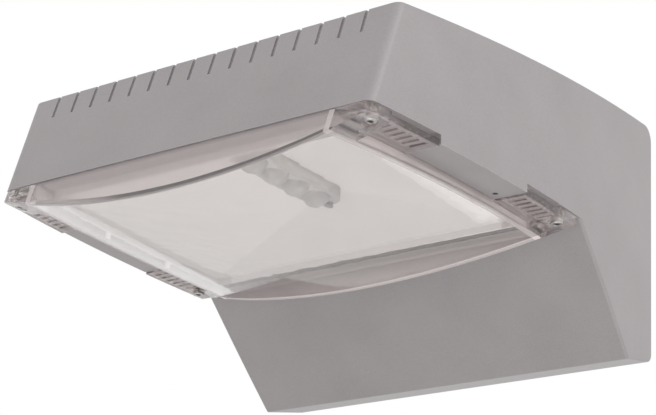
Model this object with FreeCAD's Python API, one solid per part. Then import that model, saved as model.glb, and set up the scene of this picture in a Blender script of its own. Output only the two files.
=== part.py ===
import FreeCAD, Part
import math
import os

os.makedirs("parts", exist_ok=True)
Vec = FreeCAD.Vector

# Emergency wall light, millimetres. Wall plane at y = 0, front towards -y, up is +z.
# The origin is the middle of the wall fixing pattern.

# Body seen from above
FRONT_WIDTH = 250.0
REAR_WIDTH = 252.0
SIDE_BULGE = 9.3
BODY_DEPTH = 282.5

# Body seen from the side
REAR_TOP = 73.5
REAR_BOTTOM = -73.5
TOP_FALL = 31.5
FRONT_LEAN = 17.5
UNDERSIDE = -18.5
SKIRT_TOP_DEPTH = 96.5
SKIRT_FOOT_DEPTH = 34.5
SKIRT_FOOT_DROP = 8.0

# Casting
WALL = 3.0
RING_THICK = 4.0
REAR_FRAME = 12.0
FRONT_EDGE_RADIUS = 5.0
TOP_REAR_RADIUS = 9.0
BOTTOM_REAR_RADIUS = 6.0
CRISP_RADIUS = 1.2
SKIRT_RADIUS = 1.5
OPENING_INSET = 31.0
OPENING_FRONT = 20.5
OPENING_REAR = 23.5

# Grooves over the top front edge
GROOVE_COUNT = 16
GROOVE_PITCH = 14.31
GROOVE_WIDTH = 2.3
GROOVE_DEPTH = 1.0
GROOVE_LENGTH = 14.5

# Clear cover
SEAL_THICK = 0.8
SEAL_EDGE = 1.2
SEAL_WIDTH = 4.0
SEAL_SIDE = 0.3
COVER_FLANGE = 5.6
COVER_DROP = 26.0
COVER_RADIUS = 418.0
COVER_WALL = 2.8
COVER_SIDE_GAP = 0.5
COVER_FRONT_GAP = 0.3
COVER_REAR_GAP = 3.5
DOME_INSET = 21.3
DOME_REAR_LEAN = 15.0
FRONT_BAR = 16.5
REAR_BAR = 19.0
TAB_GAP = 2.6
TAB_GROOVES = 6
TAB_GROOVE_WIDTH = 2.6
TAB_GROOVE_PITCH = 5.4
TAB_GROOVE_DEPTH = 2.6
TAB_GROOVE_START = 3.5
TAB_GROOVE_END = 14.5
TAB_FRONT_CORNER = 20.0
TAB_LAND_EDGE = 4.0

# Painted lands between the tabs
LAND_DROP = 5.2
LAND_LENGTH = 76.0
LAND_GAP = 0.5

# Cover screws and their inserts
SCREW_INSET = 6.5
FRONT_SCREW_BACK = 8.5
REAR_SCREW_FORWARD = 14.5
SCREW_RADIUS = 2.0
SCREW_HEAD_RADIUS = 3.5
SCREW_HEAD_HEIGHT = 4.0
SCREW_HEAD_ROUND = 0.4
SCREW_SEAT = 3.2
SCREW_LENGTH = 14.0
SCREW_HEX = 3.0
SCREW_HEX_DEPTH = 2.2
POCKET_GAP = 0.5
INSERT_WALL = 0.8
INSERT_LENGTH = 9.0
BOSS_WALL = 2.6
BOSS_ROOF = 3.5
DRILL_ROOM = 1.0

# Clearances
THREAD_GAP = 0.1
PRESS_GAP = 0.02
HOLE_GAP = 0.3

# Reflector
SHEET = 1.5
RIM_OVERLAP = 4.0
LIP_DROP = 5.0
CROWN_RISE = 24.0
CROWN_HALF = 13.0
CROWN_END = 25.0
HOOK_WIDTH = 3.0
HOOK_THICK = 1.2
HOOK_DROP = 3.0
HOOK_SPACING = 55.0
OPENING_GAP = 0.5

# Lamp in the middle of the reflector
OPTIC_HALF = 11.0
OPTIC_END = 2.0
OPTIC_BASE = 6.0
OPTIC_SCREW_END = 3.5
BEAD_RADIUS = 8.5
BEAD_COUNT = 4
BEAD_END = 16.0
BEAD_SINK = 2.0
LED_SIZE = 5.0
LED_HEIGHT = 1.0
LED_POCKET = 4.2
LED_POCKET_DEPTH = 2.1
LED_SLOT_EDGE = 2.5
LED_BOARD_EDGE = 1.0
BOARD_THICK = 1.6
SPREADER_THICK = 3.0
SPREADER_HALF = 25.0
SPREADER_END = 8.0
SMALL_SCREW_RADIUS = 1.5
SMALL_HEAD_RADIUS = 2.75
SMALL_HEAD_HEIGHT = 2.0
SCREW_END_ROOM = 1.0
LAMP_SPACER_HEIGHT = 1.6
LAMP_SPACER_RADIUS = 3.5
LAMP_SPACER_EDGE = 5.5

# Gear tray
TRAY_THICK = 1.2
TRAY_SIDE_GAP = 29.0
TRAY_FRONT_GAP = 23.5
TRAY_REAR_GAP = 27.5
POST_RADIUS = 4.5
POST_EDGE = 7.0
TRAY_SCREW_LENGTH = 10.0

# Battery
CELL_RADIUS = 12.8
CELL_LENGTH = 49.0
CELL_COUNT = 3
CELL_GAP = 0.6
CELL_CAP = 1.5
CELL_CAP_RADIUS = 5.0
CELL_CLEAR = 0.8
SADDLE_WIDTH = 8.0
SADDLE_HEIGHT = 7.7
SADDLE_STEP = 1.0
SADDLE_SPACING = 98.0
STRAP_THICK = 1.0
STRAP_WIDTH = 6.0
STRAP_FOOT = 9.0
STRAP_EDGE = 3.2
STRAP_SCREW_THROUGH = 2.0

# Electronics
GEAR_SIDE_EDGE = 8.0
GEAR_FRONT_EDGE = 14.0
GEAR_GAP = 7.2
CONTROL_LENGTH = 80.0
STANDOFF_HEIGHT = 6.0
STANDOFF_RADIUS = 2.6
STANDOFF_EDGE = 5.0
PART_EDGE = 1.5
TRANSFORMER_WIDTH = 32.0
TRANSFORMER_DEPTH = 17.0
TRANSFORMER_HEIGHT = 17.0
WINDING_OUT = 2.5
WINDING_SIDE = 5.0
WINDING_TOP = 3.0
CAPACITOR_COUNT = 3
CAPACITOR_RADIUS = 5.0
CAPACITOR_HEIGHT = 16.0
CAPACITOR_ROUND = 0.8
CAPACITOR_PITCH = 13.0
CONNECTOR_COUNT = 3
CONNECTOR_WIDTH = 18.0
CONNECTOR_DEPTH = 9.0
CONNECTOR_HEIGHT = 11.0
CONNECTOR_WALL = 1.5
CONNECTOR_FLOOR = 3.0
CONNECTOR_PITCH = 25.0
DRIVER_WIDTH = 44.0
DRIVER_HEIGHT = 20.0
DRIVER_CORNER = 3.0

# Test button on the right-hand land
BUTTON_INSET = 15.6
BUTTON_BACK = 6.5
BUTTON_RADIUS = 1.55
BUTTON_GAP = 0.05
BUTTON_RECESS = 0.3
COLLAR_RADIUS = 3.0
COLLAR_THICK = 1.5
SWITCH_SIZE = 12.0
SWITCH_HEIGHT = 9.0
SWITCH_ROOM = 4.0
SWITCH_GAP = 0.6

# Wall plate
PLATE_THICK = 3.0
WALL_SEAL_THICK = 1.5
WALL_SEAL_GAP = 0.3
RECESS_SIDE = 8.0
RECESS_UNDER_TOP = 13.5
RECESS_OVER_FOOT = 10.5
RECESS_RADIUS = 6.0
LEDGE = 10.0
PLATE_GAP = 0.4
PLATE_HEAD_HEIGHT = 2.6
WALL_HOLE_X = 90.0
WALL_HOLE_Z = 40.0
WALL_HOLE_RADIUS = 3.0
FLUSH_ROOM = 0.3

# Cable entry, terminals and earth stud on the wall plate
CABLE_HOLE_RADIUS = 10.0
CABLE_BORE_RADIUS = 5.0
CABLE_Z = -20.0
GROMMET_FLANGE = 3.5
GROMMET_HEIGHT = 3.0
TERMINAL_LENGTH = 60.0
TERMINAL_DEPTH = 18.0
TERMINAL_HEIGHT = 20.0
TERMINAL_X = 20.0
TERMINAL_Z = -40.0
TERMINAL_WAYS = 5
TERMINAL_STEP_DEPTH = 5.0
TERMINAL_STEP_HEIGHT = 8.0
TERMINAL_SCREW_RADIUS = 2.0
TERMINAL_SCREW_UP = 14.0
TERMINAL_SCREW_SINK = 1.5
TERMINAL_SCREW_DEPTH = 8.0
TERMINAL_SLOT_WIDTH = 0.8
TERMINAL_SLOT_DEPTH = 0.8
WIRE_HOLE_RADIUS = 1.8
WIRE_HOLE_BACK = 9.0
WIRE_HOLE_DEPTH = 7.0
EARTH_X = -50.0
EARTH_Z = -30.0
EARTH_RADIUS = 2.5
EARTH_LENGTH = 16.0
EARTH_WASHER_RADIUS = 5.0
EARTH_WASHER_THICK = 1.0
EARTH_NUT_RADIUS = 4.6
EARTH_NUT_HEIGHT = 4.0

# How far a cut runs past the piece that it cuts, and past the whole light
PAST = 1.0
RUN_OUT = 40.0
FAR = 400.0

# How near an edge has to lie to the face that it is looked for on
NEAR = 0.05

# Derived levels and places
TOP_FRONT_Z = REAR_TOP - TOP_FALL
TOP_FRONT_Y = FRONT_LEAN - BODY_DEPTH
TOP_RATE = TOP_FALL / (BODY_DEPTH - FRONT_LEAN)
LEAN_RATE = FRONT_LEAN / (TOP_FRONT_Z - UNDERSIDE)
SKIRT_FOOT_Z = REAR_BOTTOM - SKIRT_FOOT_DROP
SKIRT_RATE = (UNDERSIDE - SKIRT_FOOT_Z) / (SKIRT_TOP_DEPTH - SKIRT_FOOT_DEPTH)
AHEAD = -BODY_DEPTH - RUN_OUT
RING_TOP = UNDERSIDE + RING_THICK
COVER_TOP = UNDERSIDE - SEAL_THICK
FLANGE_LOW = COVER_TOP - COVER_FLANGE
COVER_LOW = UNDERSIDE - COVER_DROP
COVER_REAR = -SKIRT_TOP_DEPTH - COVER_REAR_GAP
TAB_TOP = UNDERSIDE - TAB_GAP
SEAT_Z = COVER_TOP - SCREW_SEAT
SCREW_TOP = SEAT_Z + SCREW_LENGTH
INSERT_RADIUS = SCREW_RADIUS + THREAD_GAP + INSERT_WALL
INSERT_TOP = UNDERSIDE + INSERT_LENGTH
BOSS_RADIUS = INSERT_RADIUS + BOSS_WALL
OPENING_Y = (OPENING_FRONT - BODY_DEPTH, -SKIRT_TOP_DEPTH - OPENING_REAR)
LAMP_Y = (OPENING_Y[0] + OPENING_Y[1]) / 2
LAND_LOW = UNDERSIDE - LAND_DROP
LAND_FRONT = LAMP_Y - LAND_LENGTH / 2
LAND_REAR = LAMP_Y + LAND_LENGTH / 2
LAND_INSET = DOME_INSET - LAND_GAP
RIM_INSET = OPENING_INSET - RIM_OVERLAP
RIM_Y = (OPENING_Y[0] - RIM_OVERLAP, OPENING_Y[1] + RIM_OVERLAP)
CROWN_LOW = UNDERSIDE - SHEET + CROWN_RISE
CROWN_TOP = CROWN_LOW + SHEET
OPENING_REACH = (OPENING_Y[1] - OPENING_Y[0]) / 2
CROWN_REACH = OPENING_REACH - CROWN_END
SPREADER_REACH = OPENING_REACH - SPREADER_END
OPTIC_REACH = CROWN_REACH - OPTIC_END
OPTIC_LOW = CROWN_LOW - OPTIC_BASE
OPTIC_SCREW_REACH = OPTIC_REACH - OPTIC_SCREW_END
BEAD_REACH = OPTIC_REACH - BEAD_END
LED_BOARD_TOP = CROWN_TOP + BOARD_THICK
SPREADER_TOP = LED_BOARD_TOP + SPREADER_THICK
TRAY_LOW = SPREADER_TOP + LAMP_SPACER_HEIGHT
TRAY_TOP = TRAY_LOW + TRAY_THICK
TRAY_HALF = FRONT_WIDTH / 2 - TRAY_SIDE_GAP
TRAY_Y = (TRAY_FRONT_GAP - BODY_DEPTH, -SKIRT_TOP_DEPTH - TRAY_REAR_GAP)
CELL_Z = TRAY_TOP + CELL_CLEAR + CELL_RADIUS
STRAP_OUTER = CELL_RADIUS + STRAP_THICK
STRAP_REACH = STRAP_OUTER + STRAP_FOOT
CELL_Y = TRAY_Y[1] - STRAP_EDGE - STRAP_REACH
GEAR_Y = (TRAY_Y[0] + GEAR_FRONT_EDGE, CELL_Y - STRAP_REACH - GEAR_GAP)
CONTROL_LOW = TRAY_TOP + STANDOFF_HEIGHT
CONTROL_TOP = CONTROL_LOW + BOARD_THICK
CONTROL_X = (GEAR_SIDE_EDGE - TRAY_HALF, GEAR_SIDE_EDGE - TRAY_HALF + CONTROL_LENGTH)
BUTTON_Y = LAND_REAR - BUTTON_BACK
PLATE_FRONT = -PLATE_THICK
RECESS_FRONT = PLATE_FRONT - WALL_SEAL_THICK
RECESS_HALF = REAR_WIDTH / 2 - RECESS_SIDE
RECESS_TOP = REAR_TOP - RECESS_UNDER_TOP
RECESS_BOTTOM = REAR_BOTTOM + RECESS_OVER_FOOT
TERMINAL_FRONT = PLATE_FRONT - TERMINAL_DEPTH


# Circle of the bowed side, through its front, middle and rear points
def circle_of_side():
    x1, y1 = FRONT_WIDTH / 2, -BODY_DEPTH
    x3, y3 = REAR_WIDTH / 2, 0.0
    x2, y2 = (x1 + x3) / 2 + SIDE_BULGE, (y1 + y3) / 2
    d = 2 * (x1 * (y2 - y3) + x2 * (y3 - y1) + x3 * (y1 - y2))
    s1, s2, s3 = x1 * x1 + y1 * y1, x2 * x2 + y2 * y2, x3 * x3 + y3 * y3
    cx = (s1 * (y2 - y3) + s2 * (y3 - y1) + s3 * (y1 - y2)) / d
    cy = (s1 * (x3 - x2) + s2 * (x1 - x3) + s3 * (x2 - x1)) / d
    return cx, cy, math.hypot(x1 - cx, y1 - cy)


ARC_X, ARC_Y, ARC_R = circle_of_side()


def side_x(y, inset=0.0):
    return ARC_X + math.sqrt((ARC_R - inset) ** 2 - (y - ARC_Y) ** 2)


def front_y(z, inset=0.0):
    return -BODY_DEPTH + LEAN_RATE * (z - UNDERSIDE) + inset * math.hypot(1.0, LEAN_RATE)


BUTTON_X = side_x(BUTTON_Y) - BUTTON_INSET


def block(x0, x1, y0, y1, z0, z1):
    return Part.makeBox(x1 - x0, y1 - y0, z1 - z0, Vec(x0, y0, z0))


# Block given by its middle and its half sizes in plan
def slab(x, half_x, y, half_y, z0, z1):
    return block(x - half_x, x + half_x, y - half_y, y + half_y, z0, z1)


def rod(x, y, z0, z1, radius):
    return Part.makeCylinder(radius, z1 - z0, Vec(x, y, z0))


def rod_back(x, z, y0, y1, radius):
    return Part.makeCylinder(radius, y1 - y0, Vec(x, y0, z), Vec(0, 1, 0))


def rod_across(y, z, x0, x1, radius):
    return Part.makeCylinder(radius, x1 - x0, Vec(x0, y, z), Vec(1, 0, 0))


def ring_of_six(corner):
    angles = [math.radians(60 * i) for i in range(7)]
    return [(corner * math.cos(a), corner * math.sin(a)) for a in angles]


def hexagon(x, y, z0, z1, across):
    points = [Vec(x + u, y + v, z0) for u, v in ring_of_six(across / (2 * math.cos(math.pi / 6)))]
    return Part.Face(Part.makePolygon(points)).extrude(Vec(0, 0, z1 - z0))


def hexagon_back(x, z, y0, y1, corner):
    points = [Vec(x + u, y0, z + v) for u, v in ring_of_six(corner)]
    return Part.Face(Part.makePolygon(points)).extrude(Vec(0, y1 - y0, 0))


def side_prism(points, half):
    outline = [Vec(-half, y, z) for y, z in points]
    outline.append(outline[0])
    return Part.Face(Part.makePolygon(outline)).extrude(Vec(2 * half, 0, 0))


def plan_wire(inset, y0, y1, z):
    middle = (y0 + y1) / 2
    front = side_x(y0, inset)
    rear = side_x(y1, inset)
    wide = side_x(middle, inset)
    edges = [Part.makeLine(Vec(-front, y0, z), Vec(front, y0, z))]
    edges.append(Part.Arc(Vec(front, y0, z), Vec(wide, middle, z), Vec(rear, y1, z)).toShape())
    edges.append(Part.makeLine(Vec(rear, y1, z), Vec(-rear, y1, z)))
    edges.append(Part.Arc(Vec(-rear, y1, z), Vec(-wide, middle, z), Vec(-front, y0, z)).toShape())
    return Part.Wire(edges)


# Upright prism between the two bowed sides
def plan_prism(inset, y0, y1, z0, z1):
    return Part.Face(plan_wire(inset, y0, y1, z0)).extrude(Vec(0, 0, z1 - z0))


# Upright rounded plate like the one on the wall
def rounded_plate(half, z0, z1, y0, y1, radius):
    plate = block(-half, half, y0, y1, z0, z1)
    corners = [e for e in plate.Edges if abs(e.Vertexes[0].Y - e.Vertexes[1].Y) > 1e-6]
    return plate.makeFillet(radius, corners)


def edges_where(shape, test):
    found = []
    for edge in shape.Edges:
        first, last = edge.ParameterRange
        points = [edge.valueAt(first + (last - first) * k / 4.0) for k in range(5)]
        if all(test(p) for p in points):
            found.append(edge)
    return found


def save(name, shape):
    shape.exportStep("parts/" + name + ".step")


OUTLINE = [
    (0.0, REAR_TOP),
    (TOP_FRONT_Y, TOP_FRONT_Z),
    (-BODY_DEPTH, UNDERSIDE),
    (-SKIRT_TOP_DEPTH, UNDERSIDE),
    (-SKIRT_FOOT_DEPTH, SKIRT_FOOT_Z),
    (0.0, REAR_BOTTOM),
]


# The outline moved inwards by one amount for each of its sides
def inner_outline(insets):
    count = len(OUTLINE)
    lines = []
    for i in range(count):
        y0, z0 = OUTLINE[i]
        y1, z1 = OUTLINE[(i + 1) % count]
        length = math.hypot(y1 - y0, z1 - z0)
        ny, nz = -(z1 - z0) / length, (y1 - y0) / length
        lines.append((ny, nz, ny * y0 + nz * z0 + insets[i]))
    points = []
    for i in range(count):
        a1, b1, c1 = lines[i - 1]
        a2, b2, c2 = lines[i]
        d = a1 * b2 - a2 * b1
        points.append(((c1 * b2 - c2 * b1) / d, (a1 * c2 - a2 * c1) / d))
    return points


def screw_places():
    front = FRONT_SCREW_BACK - BODY_DEPTH
    rear = -SKIRT_TOP_DEPTH - REAR_SCREW_FORWARD
    places = []
    for y in (front, rear):
        x = side_x(y) - SCREW_INSET
        places.append((-x, y))
        places.append((x, y))
    return places


def post_places():
    x = TRAY_HALF - POST_EDGE
    return [(s * x, y) for s in (-1, 1) for y in (TRAY_Y[0] + POST_EDGE, TRAY_Y[1] - POST_EDGE)]


def plate_screw_places():
    x = RECESS_HALF - LEDGE / 2
    return [(s * x, z) for s in (-1, 1) for z in (RECESS_BOTTOM + LEDGE / 2, RECESS_TOP - LEDGE / 2)]


# Solid outside of the casting, with its rounded edges
def housing_outside():
    plan = plan_prism(0.0, AHEAD, 0.0, -FAR, FAR)
    body = plan.common(side_prism(OUTLINE, FAR))

    def on_front_side(p):
        return abs(p.y - front_y(p.z)) < NEAR and abs(abs(p.x) - side_x(p.y)) < NEAR

    def on_skirt_side(p):
        on_skirt = abs(p.z - UNDERSIDE + SKIRT_RATE * (p.y + SKIRT_TOP_DEPTH)) < NEAR
        return on_skirt and abs(abs(p.x) - side_x(p.y)) < NEAR

    def on_top_edge(p):
        return abs(p.z - REAR_TOP - TOP_RATE * p.y) < NEAR and p.y < -TOP_REAR_RADIUS / 2

    body = body.makeFillet(SKIRT_RADIUS, edges_where(body, on_skirt_side))
    body = body.makeFillet(FRONT_EDGE_RADIUS, edges_where(body, on_front_side))
    top_rear = edges_where(body, lambda p: abs(p.y) < NEAR and abs(p.z - REAR_TOP) < NEAR)
    body = body.makeFillet(TOP_REAR_RADIUS, top_rear)
    foot = edges_where(body, lambda p: abs(p.y) < NEAR and abs(p.z - REAR_BOTTOM) < NEAR)
    body = body.makeFillet(BOTTOM_REAR_RADIUS, foot)
    return body.makeFillet(CRISP_RADIUS, edges_where(body, on_top_edge))


# Cutter for one groove, which runs back over the top and down the front
def top_groove(x):
    back_y = TOP_FRONT_Y + GROOVE_LENGTH
    back_z = TOP_FRONT_Z + TOP_RATE * GROOVE_LENGTH
    down_z = TOP_FRONT_Z - GROOVE_LENGTH
    points = [
        (back_y, back_z + PAST),
        (TOP_FRONT_Y - PAST, TOP_FRONT_Z + PAST),
        (front_y(down_z) - PAST, down_z),
        (front_y(down_z, GROOVE_DEPTH), down_z),
        (front_y(TOP_FRONT_Z - GROOVE_DEPTH, GROOVE_DEPTH), TOP_FRONT_Z - GROOVE_DEPTH),
        (back_y, back_z - GROOVE_DEPTH),
    ]
    groove = side_prism(points, GROOVE_WIDTH / 2)
    groove.translate(Vec(x, 0, 0))
    return groove


def housing_cuts():
    cuts = [plan_prism(OPENING_INSET, OPENING_Y[0], OPENING_Y[1], UNDERSIDE - PAST, RING_TOP + PAST)]
    first = -GROOVE_PITCH * (GROOVE_COUNT - 1) / 2
    cuts += [top_groove(first + GROOVE_PITCH * i) for i in range(GROOVE_COUNT)]
    for x, y in screw_places():
        cuts.append(rod(x, y, UNDERSIDE - PAST, INSERT_TOP, INSERT_RADIUS + PRESS_GAP))
        cuts.append(rod(x, y, UNDERSIDE, SCREW_TOP + DRILL_ROOM, SCREW_RADIUS + HOLE_GAP))
    drill_top = TRAY_LOW + TRAY_SCREW_LENGTH + DRILL_ROOM
    for x, y in post_places():
        cuts.append(rod(x, y, TRAY_TOP - PAST, drill_top, SMALL_SCREW_RADIUS + THREAD_GAP))
    cuts.append(rod(BUTTON_X, BUTTON_Y, LAND_LOW - PAST, RING_TOP + PAST, BUTTON_RADIUS + BUTTON_GAP))
    recess = rounded_plate(RECESS_HALF, RECESS_BOTTOM, RECESS_TOP, RECESS_FRONT, PAST, RECESS_RADIUS)
    window = rounded_plate(RECESS_HALF - LEDGE, RECESS_BOTTOM + LEDGE, RECESS_TOP - LEDGE,
                           -REAR_FRAME - PAST, RECESS_FRONT + PAST, RECESS_RADIUS)
    cuts += [recess, window]
    for x, z in plate_screw_places():
        cuts.append(rod_back(x, z, -REAR_FRAME - PAST, RECESS_FRONT + PAST, SCREW_RADIUS + HOLE_GAP))
    return cuts


def make_housing():
    outside = housing_outside()
    cavity = plan_prism(WALL, AHEAD, 0.0, -FAR, FAR)
    walls = [WALL, WALL, RING_THICK, WALL, WALL, REAR_FRAME]
    cavity = cavity.common(side_prism(inner_outline(walls), FAR))
    bosses = []
    for x, y in screw_places():
        bosses.append(rod(x, y, UNDERSIDE, SCREW_TOP + BOSS_ROOF, BOSS_RADIUS))
    for x, y in post_places():
        bosses.append(rod(x, y, TRAY_TOP, FAR, POST_RADIUS))
    inside = [boss.common(outside) for boss in bosses]
    body = outside.cut(cavity).fuse(inside)
    land = plan_prism(0.0, LAND_FRONT, LAND_REAR, LAND_LOW, UNDERSIDE + RING_THICK / 2)
    land = land.cut(plan_prism(LAND_INSET, LAND_FRONT - PAST, LAND_REAR + PAST, LAND_LOW - PAST, RING_TOP))
    body = body.fuse(land)
    for cutter in housing_cuts():
        body = body.cut(cutter)
    return body.removeSplitter()


# Solid bounded below by the cylindrical bottom of the cover
def cover_block(raised, y1):
    half = side_x(ARC_Y) + PAST
    low = COVER_LOW + raised
    edge = low + COVER_RADIUS - math.sqrt(COVER_RADIUS ** 2 - half ** 2)
    top = max(COVER_TOP, edge) + PAST
    curve = Part.Arc(Vec(half, AHEAD, edge), Vec(0, AHEAD, low), Vec(-half, AHEAD, edge)).toShape()
    edges = [curve]
    edges.append(Part.makeLine(Vec(-half, AHEAD, edge), Vec(-half, AHEAD, top)))
    edges.append(Part.makeLine(Vec(-half, AHEAD, top), Vec(half, AHEAD, top)))
    edges.append(Part.makeLine(Vec(half, AHEAD, top), Vec(half, AHEAD, edge)))
    return Part.Face(Part.Wire(edges)).extrude(Vec(0, y1 - AHEAD, 0))


# Everything behind the plane of the front face, down to well below the cover
def behind_front(inset, top):
    low = COVER_LOW - RUN_OUT
    points = [(front_y(top, inset), top), (front_y(low, inset), low), (0.0, low), (0.0, top)]
    return side_prism(points, FAR)


# Everything ahead of the rear wall of the cover, which leans forward below the flange
def ahead_of_rear(inset):
    low = COVER_LOW - RUN_OUT
    high = COVER_TOP + RUN_OUT
    rear = COVER_REAR - inset
    rear_low = rear - DOME_REAR_LEAN * (FLANGE_LOW - low) / (FLANGE_LOW - COVER_LOW)
    points = [(AHEAD, low), (rear_low, low), (rear, FLANGE_LOW), (rear, high), (AHEAD, high)]
    return side_prism(points, FAR)


def tab_groove_boxes():
    boxes = []
    for start in (front_y(FLANGE_LOW) + TAB_FRONT_CORNER, LAND_REAR + TAB_LAND_EDGE):
        for i in range(TAB_GROOVES):
            y0 = start + TAB_GROOVE_PITCH * i
            y1 = y0 + TAB_GROOVE_WIDTH
            outer = side_x((y0 + y1) / 2, TAB_GROOVE_START)
            inner = side_x((y0 + y1) / 2, TAB_GROOVE_END)
            high = FLANGE_LOW + TAB_GROOVE_DEPTH
            boxes.append(block(inner, outer, y0, y1, FLANGE_LOW - PAST, high))
            boxes.append(block(-outer, -inner, y0, y1, FLANGE_LOW - PAST, high))
    return boxes


# Sides and leaning front of the cover, with its two front corners rounded like those of the housing
def cover_outside():
    outside = plan_prism(COVER_SIDE_GAP, AHEAD, COVER_REAR, COVER_LOW - PAST, COVER_TOP)
    outside = outside.common(behind_front(COVER_FRONT_GAP, COVER_TOP))

    def on_front_side(p):
        near_front = abs(p.y - front_y(p.z, COVER_FRONT_GAP)) < NEAR
        return near_front and abs(abs(p.x) - side_x(p.y, COVER_SIDE_GAP)) < NEAR

    return outside.makeFillet(FRONT_EDGE_RADIUS - COVER_SIDE_GAP, edges_where(outside, on_front_side))


def make_cover():
    low = COVER_LOW - PAST
    dome = plan_prism(DOME_INSET, AHEAD, COVER_REAR, low, COVER_TOP)
    front_bar = plan_prism(COVER_SIDE_GAP, AHEAD, FRONT_BAR - BODY_DEPTH, low, COVER_TOP)
    rear_bar = plan_prism(COVER_SIDE_GAP, COVER_REAR - REAR_BAR, COVER_REAR, low, COVER_TOP)
    tabs = plan_prism(COVER_SIDE_GAP, AHEAD, LAND_FRONT - LAND_GAP, FLANGE_LOW, TAB_TOP)
    tabs = tabs.fuse(plan_prism(COVER_SIDE_GAP, LAND_REAR + LAND_GAP, COVER_REAR, FLANGE_LOW, TAB_TOP))
    cover = dome.fuse([front_bar, rear_bar]).common(cover_block(0.0, COVER_REAR))
    cover = cover.common(ahead_of_rear(0.0)).fuse(tabs)
    cover = cover.common(cover_outside()).removeSplitter()
    hollow = cover_block(COVER_WALL, COVER_REAR - COVER_WALL)
    hollow = hollow.common(plan_prism(DOME_INSET + COVER_WALL, AHEAD, COVER_REAR, low, COVER_TOP + PAST))
    hollow = hollow.common(behind_front(COVER_FRONT_GAP + COVER_WALL, COVER_TOP + PAST))
    hollow = hollow.common(ahead_of_rear(COVER_WALL))
    cover = cover.cut(hollow)
    for x, y in screw_places():
        cover = cover.cut(rod(x, y, low, SEAT_Z, SCREW_HEAD_RADIUS + POCKET_GAP))
        cover = cover.cut(rod(x, y, low, COVER_TOP + PAST, SCREW_RADIUS + HOLE_GAP))
    for groove in tab_groove_boxes():
        cover = cover.cut(groove)
    return cover.removeSplitter()


# Flat ring between the screws and the bowl
def make_cover_seal():
    front = front_y(UNDERSIDE) + SEAL_EDGE
    rear = COVER_REAR - SEAL_EDGE
    ring = plan_prism(DOME_INSET + SEAL_SIDE, front, rear, COVER_TOP, UNDERSIDE)
    inner = DOME_INSET + COVER_WALL + SEAL_EDGE
    low = COVER_TOP - PAST
    return ring.cut(plan_prism(inner, front + SEAL_WIDTH, rear - SEAL_WIDTH, low, UNDERSIDE + PAST))


def make_cover_screws():
    screws = []
    low = SEAT_Z - SCREW_HEAD_HEIGHT
    for x, y in screw_places():
        head = rod(x, y, low, SEAT_Z, SCREW_HEAD_RADIUS)
        head = head.makeFillet(SCREW_HEAD_ROUND, edges_where(head, lambda p: abs(p.z - low) < NEAR))
        head = head.cut(hexagon(x, y, low - PAST, low + SCREW_HEX_DEPTH, SCREW_HEX))
        screws.append(head.fuse(rod(x, y, SEAT_Z, SCREW_TOP, SCREW_RADIUS)).removeSplitter())
    return Part.makeCompound(screws)


def make_inserts():
    inserts = []
    for x, y in screw_places():
        sleeve = rod(x, y, UNDERSIDE, INSERT_TOP, INSERT_RADIUS)
        bore = rod(x, y, UNDERSIDE - PAST, INSERT_TOP + PAST, SCREW_RADIUS + THREAD_GAP)
        inserts.append(sleeve.cut(bore))
    return Part.makeCompound(inserts)


def crown_wire(half, reach, z):
    corners = [(-half, -reach), (half, -reach), (half, reach), (-half, reach), (-half, -reach)]
    return Part.makePolygon([Vec(x, LAMP_Y + y, z) for x, y in corners])


# Four sloping facets from the rim of the opening up to the flat crown
def make_reflector():
    low = UNDERSIDE - SHEET
    lip_low = UNDERSIDE - LIP_DROP
    edge = OPENING_INSET + OPENING_GAP
    y0 = OPENING_Y[0] + OPENING_GAP
    y1 = OPENING_Y[1] - OPENING_GAP
    upper_rim = plan_wire(edge, y0, y1, UNDERSIDE)
    upper = Part.makeLoft([upper_rim, crown_wire(CROWN_HALF, CROWN_REACH, CROWN_TOP)], True, True)
    lower_rim = plan_wire(edge + SHEET, y0 + SHEET, y1 - SHEET, low)
    lower_crown = crown_wire(CROWN_HALF - SHEET, CROWN_REACH - SHEET, CROWN_LOW)
    lower = Part.makeLoft([lower_rim, lower_crown], True, True)
    flange = plan_prism(RIM_INSET, RIM_Y[0], RIM_Y[1], low, UNDERSIDE)
    lip = plan_prism(RIM_INSET, RIM_Y[0], RIM_Y[1], lip_low, UNDERSIDE)
    lip_room = plan_prism(RIM_INSET + SHEET, RIM_Y[0] + SHEET, RIM_Y[1] - SHEET, lip_low - PAST, UNDERSIDE)
    tray = flange.fuse([upper, lip.cut(lip_room)]).cut(lower)
    hooks = []
    for y in (LAMP_Y - HOOK_SPACING / 2, LAMP_Y + HOOK_SPACING / 2):
        x = side_x(y, RIM_INSET) - SHEET / 2
        for place in (-x, x):
            hooks.append(slab(place, HOOK_THICK / 2, y, HOOK_WIDTH / 2, lip_low - HOOK_DROP, lip_low + PAST))
    tray = tray.fuse(hooks)
    slot_half = LED_SIZE / 2 + LED_SLOT_EDGE
    tray = tray.cut(slab(0, slot_half, LAMP_Y, BEAD_REACH + slot_half, CROWN_LOW - PAST, CROWN_TOP + PAST))
    for y in optic_screw_places():
        tray = tray.cut(rod(0, y, CROWN_LOW - PAST, CROWN_TOP + PAST, SMALL_SCREW_RADIUS + HOLE_GAP))
    return tray.removeSplitter()


def optic_screw_places():
    return [LAMP_Y - OPTIC_SCREW_REACH, LAMP_Y + OPTIC_SCREW_REACH]


def bead_places():
    pitch = 2 * BEAD_REACH / (BEAD_COUNT - 1)
    return [LAMP_Y - BEAD_REACH + pitch * i for i in range(BEAD_COUNT)]


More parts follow.
